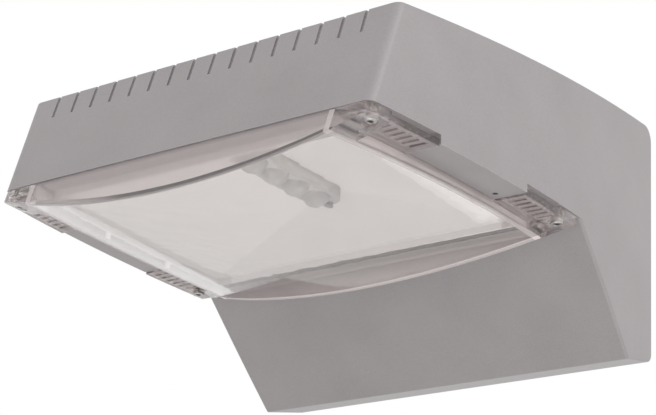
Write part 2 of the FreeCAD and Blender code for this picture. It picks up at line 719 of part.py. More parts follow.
# Clear bar with round ends and one bead lens over each light
def make_optic():
    straight = OPTIC_REACH - OPTIC_HALF
    optic = slab(0, OPTIC_HALF, LAMP_Y, straight, OPTIC_LOW, CROWN_LOW)
    for y in (LAMP_Y - straight, LAMP_Y + straight):
        optic = optic.fuse(rod(0, y, OPTIC_LOW, CROWN_LOW, OPTIC_HALF))
    for y in bead_places():
        ball = Part.makeSphere(BEAD_RADIUS, Vec(0, y, OPTIC_LOW + BEAD_SINK))
        optic = optic.fuse(ball.common(block(-FAR, FAR, -FAR, FAR, -FAR, CROWN_LOW)))
    for y in bead_places():
        optic = optic.cut(rod(0, y, CROWN_LOW - LED_POCKET_DEPTH, CROWN_LOW + PAST, LED_POCKET))
    for y in optic_screw_places():
        deep = OPTIC_LOW - BEAD_RADIUS
        optic = optic.cut(rod(0, y, deep, CROWN_LOW + PAST, SMALL_SCREW_RADIUS + HOLE_GAP))
        optic = optic.cut(rod(0, y, deep, OPTIC_LOW, SMALL_HEAD_RADIUS + HOLE_GAP))
    return optic.removeSplitter()


# Pan-head screw standing on its seat, with the shank to one side of it
def small_screw(x, y, seat, head_end, shank_end):
    head = rod(x, y, min(seat, head_end), max(seat, head_end), SMALL_HEAD_RADIUS)
    shank = rod(x, y, min(seat, shank_end), max(seat, shank_end), SMALL_SCREW_RADIUS)
    return head.fuse(shank).removeSplitter()


def make_optic_screws():
    head_end = OPTIC_LOW - SMALL_HEAD_HEIGHT
    shank_end = SPREADER_TOP - SCREW_END_ROOM
    screws = [small_screw(0, y, OPTIC_LOW, head_end, shank_end) for y in optic_screw_places()]
    return Part.makeCompound(screws)


def make_led_board():
    half = CROWN_HALF - LED_BOARD_EDGE
    board = slab(0, half, LAMP_Y, CROWN_REACH - LED_BOARD_EDGE, CROWN_TOP, LED_BOARD_TOP)
    for y in optic_screw_places():
        board = board.cut(rod(0, y, CROWN_TOP - PAST, LED_BOARD_TOP + PAST, SMALL_SCREW_RADIUS + HOLE_GAP))
    return board


def make_led_chips():
    half = LED_SIZE / 2
    chips = [slab(0, half, y, half, CROWN_TOP - LED_HEIGHT, CROWN_TOP) for y in bead_places()]
    return Part.makeCompound(chips)


def lamp_spacer_places():
    x = SPREADER_HALF - LAMP_SPACER_EDGE
    reach = SPREADER_REACH - LAMP_SPACER_EDGE
    return [(s * x, y) for s in (-1, 1) for y in (LAMP_Y - reach, LAMP_Y + reach)]


def make_spreader():
    plate = slab(0, SPREADER_HALF, LAMP_Y, SPREADER_REACH, LED_BOARD_TOP, SPREADER_TOP)
    tapped = [(0, y) for y in optic_screw_places()] + lamp_spacer_places()
    radius = SMALL_SCREW_RADIUS + THREAD_GAP
    for x, y in tapped:
        plate = plate.cut(rod(x, y, LED_BOARD_TOP - PAST, SPREADER_TOP + PAST, radius))
    return plate


def make_lamp_spacers():
    spacers = []
    for x, y in lamp_spacer_places():
        sleeve = rod(x, y, SPREADER_TOP, TRAY_LOW, LAMP_SPACER_RADIUS)
        bore = rod(x, y, SPREADER_TOP - PAST, TRAY_LOW + PAST, SMALL_SCREW_RADIUS + HOLE_GAP)
        spacers.append(sleeve.cut(bore))
    return Part.makeCompound(spacers)


def make_lamp_screws():
    head_end = TRAY_TOP + SMALL_HEAD_HEIGHT
    shank_end = LED_BOARD_TOP + SCREW_END_ROOM
    screws = [small_screw(x, y, TRAY_TOP, head_end, shank_end) for x, y in lamp_spacer_places()]
    return Part.makeCompound(screws)


def strap_places():
    return [-SADDLE_SPACING / 2, SADDLE_SPACING / 2]


def strap_screw_places():
    reach = STRAP_OUTER + STRAP_FOOT / 2
    return [(x, CELL_Y + s * reach) for x in strap_places() for s in (-1, 1)]


def make_tray():
    tray = block(-TRAY_HALF, TRAY_HALF, TRAY_Y[0], TRAY_Y[1], TRAY_LOW, TRAY_TOP)
    for x, y in post_places() + lamp_spacer_places():
        tray = tray.cut(rod(x, y, TRAY_LOW - PAST, TRAY_TOP + PAST, SMALL_SCREW_RADIUS + HOLE_GAP))
    for x, y in strap_screw_places():
        tray = tray.cut(rod(x, y, TRAY_LOW - PAST, TRAY_TOP + PAST, SMALL_SCREW_RADIUS + THREAD_GAP))
    return tray


def make_tray_screws():
    head_end = TRAY_LOW - SMALL_HEAD_HEIGHT
    shank_end = TRAY_LOW + TRAY_SCREW_LENGTH
    screws = [small_screw(x, y, TRAY_LOW, head_end, shank_end) for x, y in post_places()]
    return Part.makeCompound(screws)


def make_control_board():
    return block(CONTROL_X[0], CONTROL_X[1], GEAR_Y[0], GEAR_Y[1], CONTROL_LOW, CONTROL_TOP)


def make_board_spacers():
    posts = []
    for x in (CONTROL_X[0] + STANDOFF_EDGE, CONTROL_X[1] - STANDOFF_EDGE):
        for y in (GEAR_Y[0] + STANDOFF_EDGE, GEAR_Y[1] - STANDOFF_EDGE):
            posts.append(rod(x, y, TRAY_TOP, CONTROL_LOW, STANDOFF_RADIUS))
    return Part.makeCompound(posts)


def make_transformer():
    x0 = CONTROL_X[0] + PART_EDGE
    x1 = x0 + TRANSFORMER_WIDTH
    y1 = GEAR_Y[1] - PART_EDGE - WINDING_OUT
    y0 = y1 - TRANSFORMER_DEPTH
    top = CONTROL_TOP + TRANSFORMER_HEIGHT
    core = block(x0, x1, y0, y1, CONTROL_TOP, top)
    winding = block(x0 + WINDING_SIDE, x1 - WINDING_SIDE, y0 - WINDING_OUT, y1 + WINDING_OUT,
                    CONTROL_TOP, top - WINDING_TOP)
    return core.fuse(winding).removeSplitter()


def make_capacitors():
    cans = []
    top = CONTROL_TOP + CAPACITOR_HEIGHT
    y = GEAR_Y[1] - PART_EDGE - CAPACITOR_RADIUS
    for i in range(CAPACITOR_COUNT):
        x = CONTROL_X[1] - PART_EDGE - CAPACITOR_RADIUS - CAPACITOR_PITCH * i
        can = rod(x, y, CONTROL_TOP, top, CAPACITOR_RADIUS)
        cans.append(can.makeFillet(CAPACITOR_ROUND, edges_where(can, lambda p: p.z > top - NEAR)))
    return Part.makeCompound(cans)


def make_connectors():
    plugs = []
    y0 = GEAR_Y[0] + PART_EDGE
    y1 = y0 + CONNECTOR_DEPTH
    top = CONTROL_TOP + CONNECTOR_HEIGHT
    wall = CONNECTOR_WALL
    for i in range(CONNECTOR_COUNT):
        x0 = CONTROL_X[0] + PART_EDGE + CONNECTOR_PITCH * i
        x1 = x0 + CONNECTOR_WIDTH
        plug = block(x0, x1, y0, y1, CONTROL_TOP, top)
        floor = CONTROL_TOP + CONNECTOR_FLOOR
        plugs.append(plug.cut(block(x0 + wall, x1 - wall, y0 + wall, y1 - wall, floor, top + PAST)))
    return Part.makeCompound(plugs)


def make_driver():
    x1 = TRAY_HALF - GEAR_SIDE_EDGE
    case = block(x1 - DRIVER_WIDTH, x1, GEAR_Y[0], GEAR_Y[1], TRAY_TOP, TRAY_TOP + DRIVER_HEIGHT)
    upright = [e for e in case.Edges if abs(e.Vertexes[0].Z - e.Vertexes[1].Z) > 1e-6]
    return case.makeFillet(DRIVER_CORNER, upright)


def make_cells():
    cells = []
    pitch = CELL_LENGTH + CELL_GAP
    first = -pitch * (CELL_COUNT - 1) / 2
    for i in range(CELL_COUNT):
        x0 = first + pitch * i - CELL_LENGTH / 2
        x1 = x0 + CELL_LENGTH
        can = rod_across(CELL_Y, CELL_Z, x0, x1 - CELL_CAP, CELL_RADIUS)
        cap = rod_across(CELL_Y, CELL_Z, x0, x1, CELL_CAP_RADIUS)
        cells.append(can.fuse(cap).removeSplitter())
    return Part.makeCompound(cells)


def make_saddles():
    saddles = []
    half = SADDLE_WIDTH / 2
    for x in strap_places():
        low = slab(x, half, CELL_Y, CELL_RADIUS - SADDLE_STEP, TRAY_TOP, TRAY_TOP + SADDLE_HEIGHT)
        saddles.append(low.cut(rod_across(CELL_Y, CELL_Z, x - half - PAST, x + half + PAST, CELL_RADIUS)))
    return Part.makeCompound(saddles)


def make_straps():
    straps = []
    half = STRAP_WIDTH / 2
    foot_top = TRAY_TOP + STRAP_THICK
    for x in strap_places():
        hoop = rod_across(CELL_Y, CELL_Z, x - half, x + half, STRAP_OUTER)
        legs = slab(x, half, CELL_Y, STRAP_OUTER, TRAY_TOP, CELL_Z)
        feet = slab(x, half, CELL_Y, STRAP_REACH, TRAY_TOP, foot_top)
        strap = hoop.common(block(-FAR, FAR, -FAR, FAR, CELL_Z, FAR)).fuse([legs, feet])
        strap = strap.cut(rod_across(CELL_Y, CELL_Z, x - half - PAST, x + half + PAST, CELL_RADIUS))
        strap = strap.cut(slab(x, half + PAST, CELL_Y, CELL_RADIUS, TRAY_TOP - PAST, CELL_Z))
        for sx, sy in strap_screw_places():
            strap = strap.cut(rod(sx, sy, TRAY_TOP - PAST, foot_top + PAST, SMALL_SCREW_RADIUS + HOLE_GAP))
        straps.append(strap.removeSplitter())
    return Part.makeCompound(straps)


def make_strap_screws():
    seat = TRAY_TOP + STRAP_THICK
    head_end = seat + SMALL_HEAD_HEIGHT
    shank_end = TRAY_LOW - STRAP_SCREW_THROUGH
    screws = [small_screw(x, y, seat, head_end, shank_end) for x, y in strap_screw_places()]
    return Part.makeCompound(screws)


def make_button():
    stem = rod(BUTTON_X, BUTTON_Y, LAND_LOW + BUTTON_RECESS, RING_TOP + COLLAR_THICK, BUTTON_RADIUS)
    collar = rod(BUTTON_X, BUTTON_Y, RING_TOP, RING_TOP + COLLAR_THICK, COLLAR_RADIUS)
    return stem.fuse(collar).removeSplitter()


def make_switch():
    half = SWITCH_SIZE / 2
    case = slab(BUTTON_X, half, BUTTON_Y, half, RING_TOP, RING_TOP + SWITCH_HEIGHT)
    room = rod(BUTTON_X, BUTTON_Y, RING_TOP - PAST, RING_TOP + SWITCH_ROOM, COLLAR_RADIUS + SWITCH_GAP)
    return case.cut(room)


def make_wall_plate():
    plate = rounded_plate(RECESS_HALF - PLATE_GAP, RECESS_BOTTOM + PLATE_GAP, RECESS_TOP - PLATE_GAP,
                          PLATE_FRONT, 0.0, RECESS_RADIUS - PLATE_GAP)
    holes = [(x, z, SCREW_RADIUS + THREAD_GAP) for x, z in plate_screw_places()]
    for x in (-WALL_HOLE_X, WALL_HOLE_X):
        for z in (-WALL_HOLE_Z, WALL_HOLE_Z):
            holes.append((x, z, WALL_HOLE_RADIUS))
    holes.append((0, CABLE_Z, CABLE_HOLE_RADIUS))
    holes.append((EARTH_X, EARTH_Z, EARTH_RADIUS + PRESS_GAP))
    for x, z, radius in holes:
        plate = plate.cut(rod_back(x, z, PLATE_FRONT - PAST, PAST, radius))
    return plate


def make_wall_seal():
    gap = PLATE_GAP + WALL_SEAL_GAP
    seal = rounded_plate(RECESS_HALF - gap, RECESS_BOTTOM + gap, RECESS_TOP - gap,
                         RECESS_FRONT, PLATE_FRONT, RECESS_RADIUS - gap)
    hole = rounded_plate(RECESS_HALF - LEDGE, RECESS_BOTTOM + LEDGE, RECESS_TOP - LEDGE,
                         RECESS_FRONT - PAST, PLATE_FRONT + PAST, RECESS_RADIUS)
    seal = seal.cut(hole)
    for x, z in plate_screw_places():
        seal = seal.cut(rod_back(x, z, RECESS_FRONT - PAST, PLATE_FRONT + PAST, SCREW_RADIUS + HOLE_GAP))
    return seal


def make_plate_screws():
    screws = []
    for x, z in plate_screw_places():
        head = rod_back(x, z, -REAR_FRAME - PLATE_HEAD_HEIGHT, -REAR_FRAME, SCREW_HEAD_RADIUS)
        shank = rod_back(x, z, -REAR_FRAME, -FLUSH_ROOM, SCREW_RADIUS)
        screws.append(head.fuse(shank).removeSplitter())
    return Part.makeCompound(screws)


def make_grommet():
    front = PLATE_FRONT - GROMMET_HEIGHT
    flange = rod_back(0, CABLE_Z, front, PLATE_FRONT, CABLE_HOLE_RADIUS + GROMMET_FLANGE)
    spigot = rod_back(0, CABLE_Z, PLATE_FRONT, -FLUSH_ROOM, CABLE_HOLE_RADIUS - PRESS_GAP)
    bore = rod_back(0, CABLE_Z, front - PAST, PAST, CABLE_BORE_RADIUS)
    return flange.fuse(spigot).cut(bore).removeSplitter()


def terminal_centres():
    pitch = TERMINAL_LENGTH / TERMINAL_WAYS
    return [TERMINAL_X + pitch * (i + 0.5) for i in range(TERMINAL_WAYS)]


def make_terminal_block():
    x1 = TERMINAL_X + TERMINAL_LENGTH
    case = block(TERMINAL_X, x1, TERMINAL_FRONT, PLATE_FRONT, TERMINAL_Z, TERMINAL_Z + TERMINAL_HEIGHT)
    step = block(TERMINAL_X - PAST, x1 + PAST, TERMINAL_FRONT - PAST, TERMINAL_FRONT + TERMINAL_STEP_DEPTH,
                 TERMINAL_Z - PAST, TERMINAL_Z + TERMINAL_STEP_HEIGHT)
    case = case.cut(step)
    screw_end = TERMINAL_FRONT + TERMINAL_SCREW_DEPTH
    screw_z = TERMINAL_Z + TERMINAL_SCREW_UP
    wire_y = TERMINAL_FRONT + WIRE_HOLE_BACK
    radius = TERMINAL_SCREW_RADIUS + THREAD_GAP
    for x in terminal_centres():
        case = case.cut(rod_back(x, screw_z, TERMINAL_FRONT - PAST, screw_end, radius))
        case = case.cut(rod(x, wire_y, TERMINAL_Z - PAST, TERMINAL_Z + WIRE_HOLE_DEPTH, WIRE_HOLE_RADIUS))
    return case


def make_terminal_screws():
    front = TERMINAL_FRONT + TERMINAL_SCREW_SINK
    z = TERMINAL_Z + TERMINAL_SCREW_UP
    half = TERMINAL_SLOT_WIDTH / 2
    reach = TERMINAL_SCREW_RADIUS + PAST
    screws = []
    for x in terminal_centres():
        screw = rod_back(x, z, front, TERMINAL_FRONT + TERMINAL_SCREW_DEPTH, TERMINAL_SCREW_RADIUS)
        slot = block(x - reach, x + reach, front - PAST, front + TERMINAL_SLOT_DEPTH, z - half, z + half)
        screws.append(screw.cut(slot))
    return Part.makeCompound(screws)


def make_earth_stud():
    return rod_back(EARTH_X, EARTH_Z, -EARTH_LENGTH, -FLUSH_ROOM, EARTH_RADIUS)


def make_earth_nut():
    washer_front = PLATE_FRONT - EARTH_WASHER_THICK
    bore = rod_back(EARTH_X, EARTH_Z, -FAR, 0.0, EARTH_RADIUS + THREAD_GAP)
    washer = rod_back(EARTH_X, EARTH_Z, washer_front, PLATE_FRONT, EARTH_WASHER_RADIUS)
    nut = hexagon_back(EARTH_X, EARTH_Z, washer_front - EARTH_NUT_HEIGHT, washer_front, EARTH_NUT_RADIUS)
    return Part.makeCompound([washer.cut(bore), nut.cut(bore)])


save("housing", make_housing())
save("lens_cover", make_cover())
save("cover_seal", make_cover_seal())
save("cover_screws", make_cover_screws())
save("thread_inserts", make_inserts())
save("reflector", make_reflector())
save("led_optic", make_optic())
save("optic_screws", make_optic_screws())
save("led_board", make_led_board())
save("led_chips", make_led_chips())
save("heat_spreader", make_spreader())
save("lamp_spacers", make_lamp_spacers())
save("lamp_screws", make_lamp_screws())
save("gear_tray", make_tray())
save("tray_screws", make_tray_screws())
save("control_board", make_control_board())
save("board_spacers", make_board_spacers())
save("transformer", make_transformer())
save("capacitors", make_capacitors())
save("board_connectors", make_connectors())
save("led_driver", make_driver())
save("battery_cells", make_cells())
save("battery_saddles", make_saddles())
save("battery_straps", make_straps())
save("strap_screws", make_strap_screws())
save("test_button", make_button())
save("test_switch", make_switch())
save("wall_plate", make_wall_plate())
save("wall_seal", make_wall_seal())
save("plate_screws", make_plate_screws())
save("cable_grommet", make_grommet())
save("terminal_block", make_terminal_block())
save("terminal_screws", make_terminal_screws())
save("earth_stud", make_earth_stud())
save("earth_nut", make_earth_nut())
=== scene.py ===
"""Looks of an emergency wall light: finishes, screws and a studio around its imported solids."""

import logging
import math
from dataclasses import dataclass
from enum import Enum
from typing import Any, Optional, Union

import bmesh
import bpy
from mathutils import Matrix, Vector

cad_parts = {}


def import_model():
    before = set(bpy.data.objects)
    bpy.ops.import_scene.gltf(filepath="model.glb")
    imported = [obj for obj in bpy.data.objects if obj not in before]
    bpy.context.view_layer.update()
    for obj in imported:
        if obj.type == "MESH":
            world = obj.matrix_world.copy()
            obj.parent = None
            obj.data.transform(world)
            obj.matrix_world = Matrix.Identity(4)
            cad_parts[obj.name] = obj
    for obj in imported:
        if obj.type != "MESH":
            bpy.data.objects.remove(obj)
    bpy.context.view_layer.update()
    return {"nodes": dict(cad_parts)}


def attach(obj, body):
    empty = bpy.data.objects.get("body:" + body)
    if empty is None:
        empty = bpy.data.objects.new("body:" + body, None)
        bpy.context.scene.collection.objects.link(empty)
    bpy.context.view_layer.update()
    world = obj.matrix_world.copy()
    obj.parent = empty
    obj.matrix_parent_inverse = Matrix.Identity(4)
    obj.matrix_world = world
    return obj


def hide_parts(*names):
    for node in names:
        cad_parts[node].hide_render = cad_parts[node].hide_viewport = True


LOG = logging.getLogger("wall_light")
MM = 0.001
Colour = tuple[float, float, float, float]
Triple = tuple[float, float, float]
Number = Union[int, float, "Signal"]
Nodes = dict[str, bpy.types.Object]


def tone(red: int, green: int, blue: int) -> Colour:
    """Turn a screen colour into the linear colour that a socket takes.

    Args:
        red: Red, 0 to 255.
        green: Green, 0 to 255.
        blue: Blue, 0 to 255.

    Returns:
        The linear colour with full alpha.
    """
    parts = [channel / 255 for channel in (red, green, blue)]
    linear = [p / 12.92 if p <= 0.04045 else ((p + 0.055) / 1.055) ** 2.4 for p in parts]
    return (linear[0], linear[1], linear[2], 1.0)


def tinted(colour: Colour, share: float, lift: float = 0.0) -> Colour:
    """Make a linear colour darker or lighter.

    Args:
        colour: The colour.
        share: What each channel is multiplied by.
        lift: What is then added to it.

    Returns:
        The new colour, with no channel over 1.
    """
    red, green, blue = (min(1.0, share * part + lift) for part in colour[:3])
    return (red, green, blue, 1.0)


def halfway(values: list[float]) -> float:
    """Give the middle between the smallest and the largest value."""
    return 0.5 * (min(values) + max(values))


class Axis(Enum):
    """An axis of the part: to the right, back to the wall, or up."""

    X = 0
    Y = 1
    Z = 2


class Lay(Enum):
    """The way the grain, brush marks or turning marks run over a surface."""

    ALONG_X = (0.04, 1.0, 1.0)
    ALONG_Y = (1.0, 0.04, 1.0)
    ALONG_Z = (1.0, 1.0, 0.04)
    AROUND_Y = (0.05, 1.0, 0.05)
    AROUND_Z = (0.05, 0.05, 1.0)
    EVEN = (1.0, 1.0, 1.0)


class Signal:
    """A shader value that takes part in Python sums and products."""

    def __init__(self, graph: "Graph", socket: bpy.types.NodeSocket) -> None:
        """Hold the socket and the graph that takes its Math nodes."""
        self.graph = graph
        self.socket = socket

    def _math(self, operation: str, first: Number, second: Number) -> "Signal":
        """Add one Math node of the given operation."""
        return self.graph.take("ShaderNodeMath", {"operation": operation}, {0: first, 1: second})

    def __add__(self, other: Number) -> "Signal":
        """Add a value or a number."""
        return self._math("ADD", self, other)

    def __sub__(self, other: Number) -> "Signal":
        """Take away a value or a number."""
        return self._math("SUBTRACT", self, other)

    def __rsub__(self, other: Number) -> "Signal":
        """Take this value away from a number."""
        return self._math("SUBTRACT", other, self)

    def __mul__(self, other: Number) -> "Signal":
        """Multiply by a value or a number."""
        return self._math("MULTIPLY", self, other)

    def __pow__(self, other: Number) -> "Signal":
        """Raise to a power."""
        return self._math("POWER", self, other)

    def __abs__(self) -> "Signal":
        """Drop the sign."""
        return self._math("ABSOLUTE", self, 0.0)

    __radd__ = __add__
    __rmul__ = __mul__

    def repeat(self, pitch: float) -> "Signal":
        """Start again from 0 after each pitch."""
        return self._math("FLOORED_MODULO", self, pitch)

    def rise(self, low: float, high: float) -> "Signal":
        """Rise smoothly from 0 at low to 1 at high, also where low is the larger one."""
        limits = {"Value": self, "From Min": low, "From Max": high}
        return self.graph.take("ShaderNodeMapRange", {"interpolation_type": "SMOOTHSTEP"}, limits)


class Graph:
    """The nodes of one material or of the world."""

    def __init__(self, owner: Union[bpy.types.Material, bpy.types.World]) -> None:
        """Start an empty node tree.

        Args:
            owner: The material or world that the nodes belong to.
        """
        owner.use_nodes = True
        self.tree = owner.node_tree
        self.tree.nodes.clear()

    def node(
        self,
        kind: str,
        settings: Optional[dict[str, Any]] = None,
        sockets: Optional[dict[Union[int, str], Any]] = None,
    ) -> bpy.types.Node:
        """Add one node, set it up and feed its sockets.

        Args:
            kind: The node's type.
            settings: Properties of the node.
            sockets: Values or links of its sockets, by name or place.

        Returns:
            The new node.
        """
        made = self.tree.nodes.new(kind)
        for name, value in (settings or {}).items():
            setattr(made, name, value)
        for key, value in (sockets or {}).items():
            if isinstance(value, Signal):
                self.tree.links.new(value.socket, made.inputs[key])
            else:
                made.inputs[key].default_value = value
        return made

    def take(
        self,
        kind: str,
        settings: Optional[dict[str, Any]] = None,
        sockets: Optional[dict[Union[int, str], Any]] = None,
        out: Union[int, str] = 0,
    ) -> Signal:
        """Add one node and take one of its outputs.

        Args:
            kind: The node's type.
            settings: Properties of the node.
            sockets: Values or links of its sockets.
            out: The output's name or place.

        Returns:
            The output as a signal.
        """
        return Signal(self, self.node(kind, settings, sockets).outputs[out])

    def point(self, lay: Lay = Lay.EVEN) -> Signal:
        """Give the place on the part in metres, drawn out along the lay."""
        place = self.take("ShaderNodeTexCoord", out="Object")
        return self.take("ShaderNodeMapping", sockets={"Vector": place, "Scale": lay.value})

    def along(self, axis: Axis) -> Signal:
        """Give one coordinate of the place on the part, in metres."""
        return self.take("ShaderNodeSeparateXYZ", sockets={0: self.point()}, out=axis.value)

    def grain(self, size: float, lay: Lay = Lay.EVEN, detail: float = 2.0) -> Signal:
        """Give noise from 0 to 1.

        Args:
            size: How large its spots are, in metres.
            lay: The way they are drawn out.
            detail: How many finer layers it has.

        Returns:
            The noise.
        """
        sockets = {"Vector": self.point(lay), "Scale": 1.0 / size, "Detail": detail}
        return self.take("ShaderNodeTexNoise", sockets=sockets)

    def cells(self, size: float, out: str = "Distance") -> Signal:
        """Give cells of a size in metres, as distance or as one colour each."""
        sockets = {"Vector": self.point(), "Scale": 1.0 / size}
        return self.take("ShaderNodeTexVoronoi", {"feature": "F1"}, sockets, out)

    def mix(self, factor: Number, first: Any, second: Any) -> Signal:
        """Blend two colours.

        Args:
            factor: The share of the second colour.
            first: A colour or a signal.
            second: A colour or a signal.

        Returns:
            The blended colour.
        """
        sockets = {0: factor, 6: first, 7: second}
        return self.take("ShaderNodeMix", {"data_type": "RGBA"}, sockets, 2)

    def blend(self, factor: Number, first: Signal, second: Signal) -> Signal:
        """Blend two shaders by the share of the second one."""
        return self.take("ShaderNodeMixShader", sockets={0: factor, 1: first, 2: second})

    def edge(self, radius: float, samples: int = 4) -> Signal:
        """Find the edges that wear and light pick out.

        Args:
            radius: How wide the mask reaches from an edge, in metres.
            samples: How often the edge is felt for.

        Returns:
            A mask that is 0 on flat places and grows towards the edges.
        """
        rounded = self.take("ShaderNodeBevel", {"samples": samples}, {"Radius": radius})
        plain = self.take("ShaderNodeNewGeometry", out="Normal")
        both = {0: rounded, 1: plain}
        return 1.0 - self.take("ShaderNodeVectorMath", {"operation": "DOT_PRODUCT"}, both, "Value")

    def coat(
        self, colour: Any, rough: Number, height: Signal, depth: float, **further: Any
    ) -> Signal:
        """Join colour, roughness and relief in one Principled shader.

        Args:
            colour: The base colour.
            rough: The roughness.
            height: The relief from 0 to 1.
            depth: How deep the relief is, in metres.
            further: Further sockets by name, with spaces written as underscores.

        Returns:
            The shader.
        """
        lie = {"Strength": 1.0, "Distance": depth, "Height": height}
        relief = self.take("ShaderNodeBump", sockets=lie)
        sockets = {"Base Color": colour, "Roughness": rough, "Normal": relief}
        sockets.update({name.replace("_", " "): value for name, value in further.items()})
        return self.take("ShaderNodeBsdfPrincipled", sockets=sockets)

    def let_lamps_through(self, shader: Signal, tint: Colour) -> Signal:
        """Let the lamps light what is behind a clear shader.

        Args:
            shader: The clear shader.
            tint: The colour that it gives to the light.

        Returns:
            The shader for both kinds of ray.
        """
        from_lamp = self.take("ShaderNodeLightPath", out="Is Shadow Ray")
        opened = self.take("ShaderNodeBsdfTransparent", sockets={"Color": tint})
        return self.blend(from_lamp, shader, opened)

    def close(self, shader: Signal) -> None:
        """Make a shader the one that the material shows."""
        self.node("ShaderNodeOutputMaterial", sockets={"Surface": shader})


@dataclass(frozen=True)
class Finish:
    """A surface finish under the name that its material gets."""

    name: str
    colour: Colour

    def shader(self, graph: Graph) -> Signal:
        """Build the finish's nodes; each kind of finish has its own."""
        raise NotImplementedError

    def material(self) -> bpy.types.Material:
        """Give the finish's material, made the first time it is asked for.

        Returns:
            The material.
        """
        ready = bpy.data.materials.get(self.name)
        if ready is None:
            ready = bpy.data.materials.new(self.name)
            graph = Graph(ready)
            graph.close(self.shader(graph))
        return ready

    def put_on(self, piece: bpy.types.Object) -> None:
        """Make the finish the only one that a piece has."""
        piece.data.materials.clear()
        piece.data.materials.append(self.material())


@dataclass(frozen=True)
class CastPaint(Finish):
    """Silver-grey powder paint on a casting, with metal fleck and a fine peel."""

    # Paler colour of the edges: partly rubbed wear, partly a painted highlight on the rounded
    # edges.
    wear_and_highlight_colour: Colour
    fleck: float = 0.7 * MM
    peel: float = 1.6 * MM
    cloud: float = 45 * MM
    edge: float = 1.0 * MM
    wear_and_highlight_patch: float = 6 * MM
    relief: float = 0.05 * MM
    dark: float = 0.75
    light: float = 1.24
    matt: float = 0.34
    metal: float = 0.3

    def shader(self, graph: Graph) -> Signal:
        """Build the paint with its fleck, cloudiness, paler edges and peel; the paler edges are
        partly rubbed wear and partly a painted highlight.

        Args:
            graph: The nodes of its material.

        Returns:
            The shader.
        """
        fleck = graph.grain(self.fleck, detail=1.0)
        cloud = graph.grain(self.cloud, detail=3.0)
        # Painted highlight and wear: the edges are made paler in patches, partly as rubbed paint
        # and partly standing in for the highlight on the rounded edges.
        wear_and_highlight = graph.edge(self.edge).rise(0.02, 0.3) * graph.grain(self.wear_and_highlight_patch).rise(0.3, 0.6)
        dark, light = tinted(self.colour, self.dark), tinted(self.colour, self.light)
        base = graph.mix(0.55 * fleck + 0.45 * cloud, dark, light)
        colour = graph.mix(0.45 * wear_and_highlight, base, self.wear_and_highlight_colour)
        rough = self.matt + 0.10 * cloud + 0.10 * fleck - 0.08 * wear_and_highlight
        height = 0.8 * graph.grain(self.peel, detail=1.0) + 0.2 * fleck
        return graph.coat(colour, rough, height, self.relief, Metallic=self.metal)


@dataclass(frozen=True)
class ClearMoulding(Finish):
    """Clear moulded plastic with faint flow waves and a few fine scuffs."""

    wave: float = 14 * MM
    ripple: float = 0.05 * MM
    clarity: float = 1.0
    bend: float = 1.49
    cloud: float = 30 * MM
    shade: float = 0.97
    scuff: float = 3 * MM
    matt: float = 0.015

    def shader(self, graph: Graph) -> Signal:
        """Build the clear plastic with its waves and scuffs."""
        clear = self.build(graph, self.body(graph), self.gloss(graph))
        return graph.let_lamps_through(clear, self.colour)

    def body(self, graph: Graph) -> Signal:
        """Give the colour, a little uneven."""
        cloud = graph.grain(self.cloud, detail=3.0)
        return graph.mix(cloud, self.colour, tinted(self.colour, self.shade))

    def gloss(self, graph: Graph) -> Signal:
        """Give the roughness of the polished surface with its scuffs."""
        scuff = graph.grain(self.scuff, Lay.ALONG_X, 4.0).rise(0.62, 0.78)
        return self.matt + 0.02 * graph.grain(self.cloud, detail=3.0) + 0.05 * scuff

    def build(self, graph: Graph, base: Signal, rough: Signal, solid: Number = 1.0) -> Signal:
        """Join colour and roughness in the clear plastic.

        Args:
            graph: The nodes of its material.
            base: The colour of the plastic.
            rough: The roughness of its surface.
            solid: How much of the light it bends; the rest goes straight on.

        Returns:
            The shader of the plastic.
        """
        height = graph.grain(self.wave, detail=1.0)
        clear = {"IOR": self.bend, "Transmission_Weight": self.clarity, "Alpha": solid}
        return graph.coat(base, rough, height, self.ripple, **clear)


@dataclass(frozen=True)
class CoverZones:
    """Masks from 0 to 1 of the areas of the cover that have a finish of their own."""

    tab: Signal
    flat: Signal
    rim: Signal
    corner: Signal
    side: Signal
    front: Signal
    rear: Signal


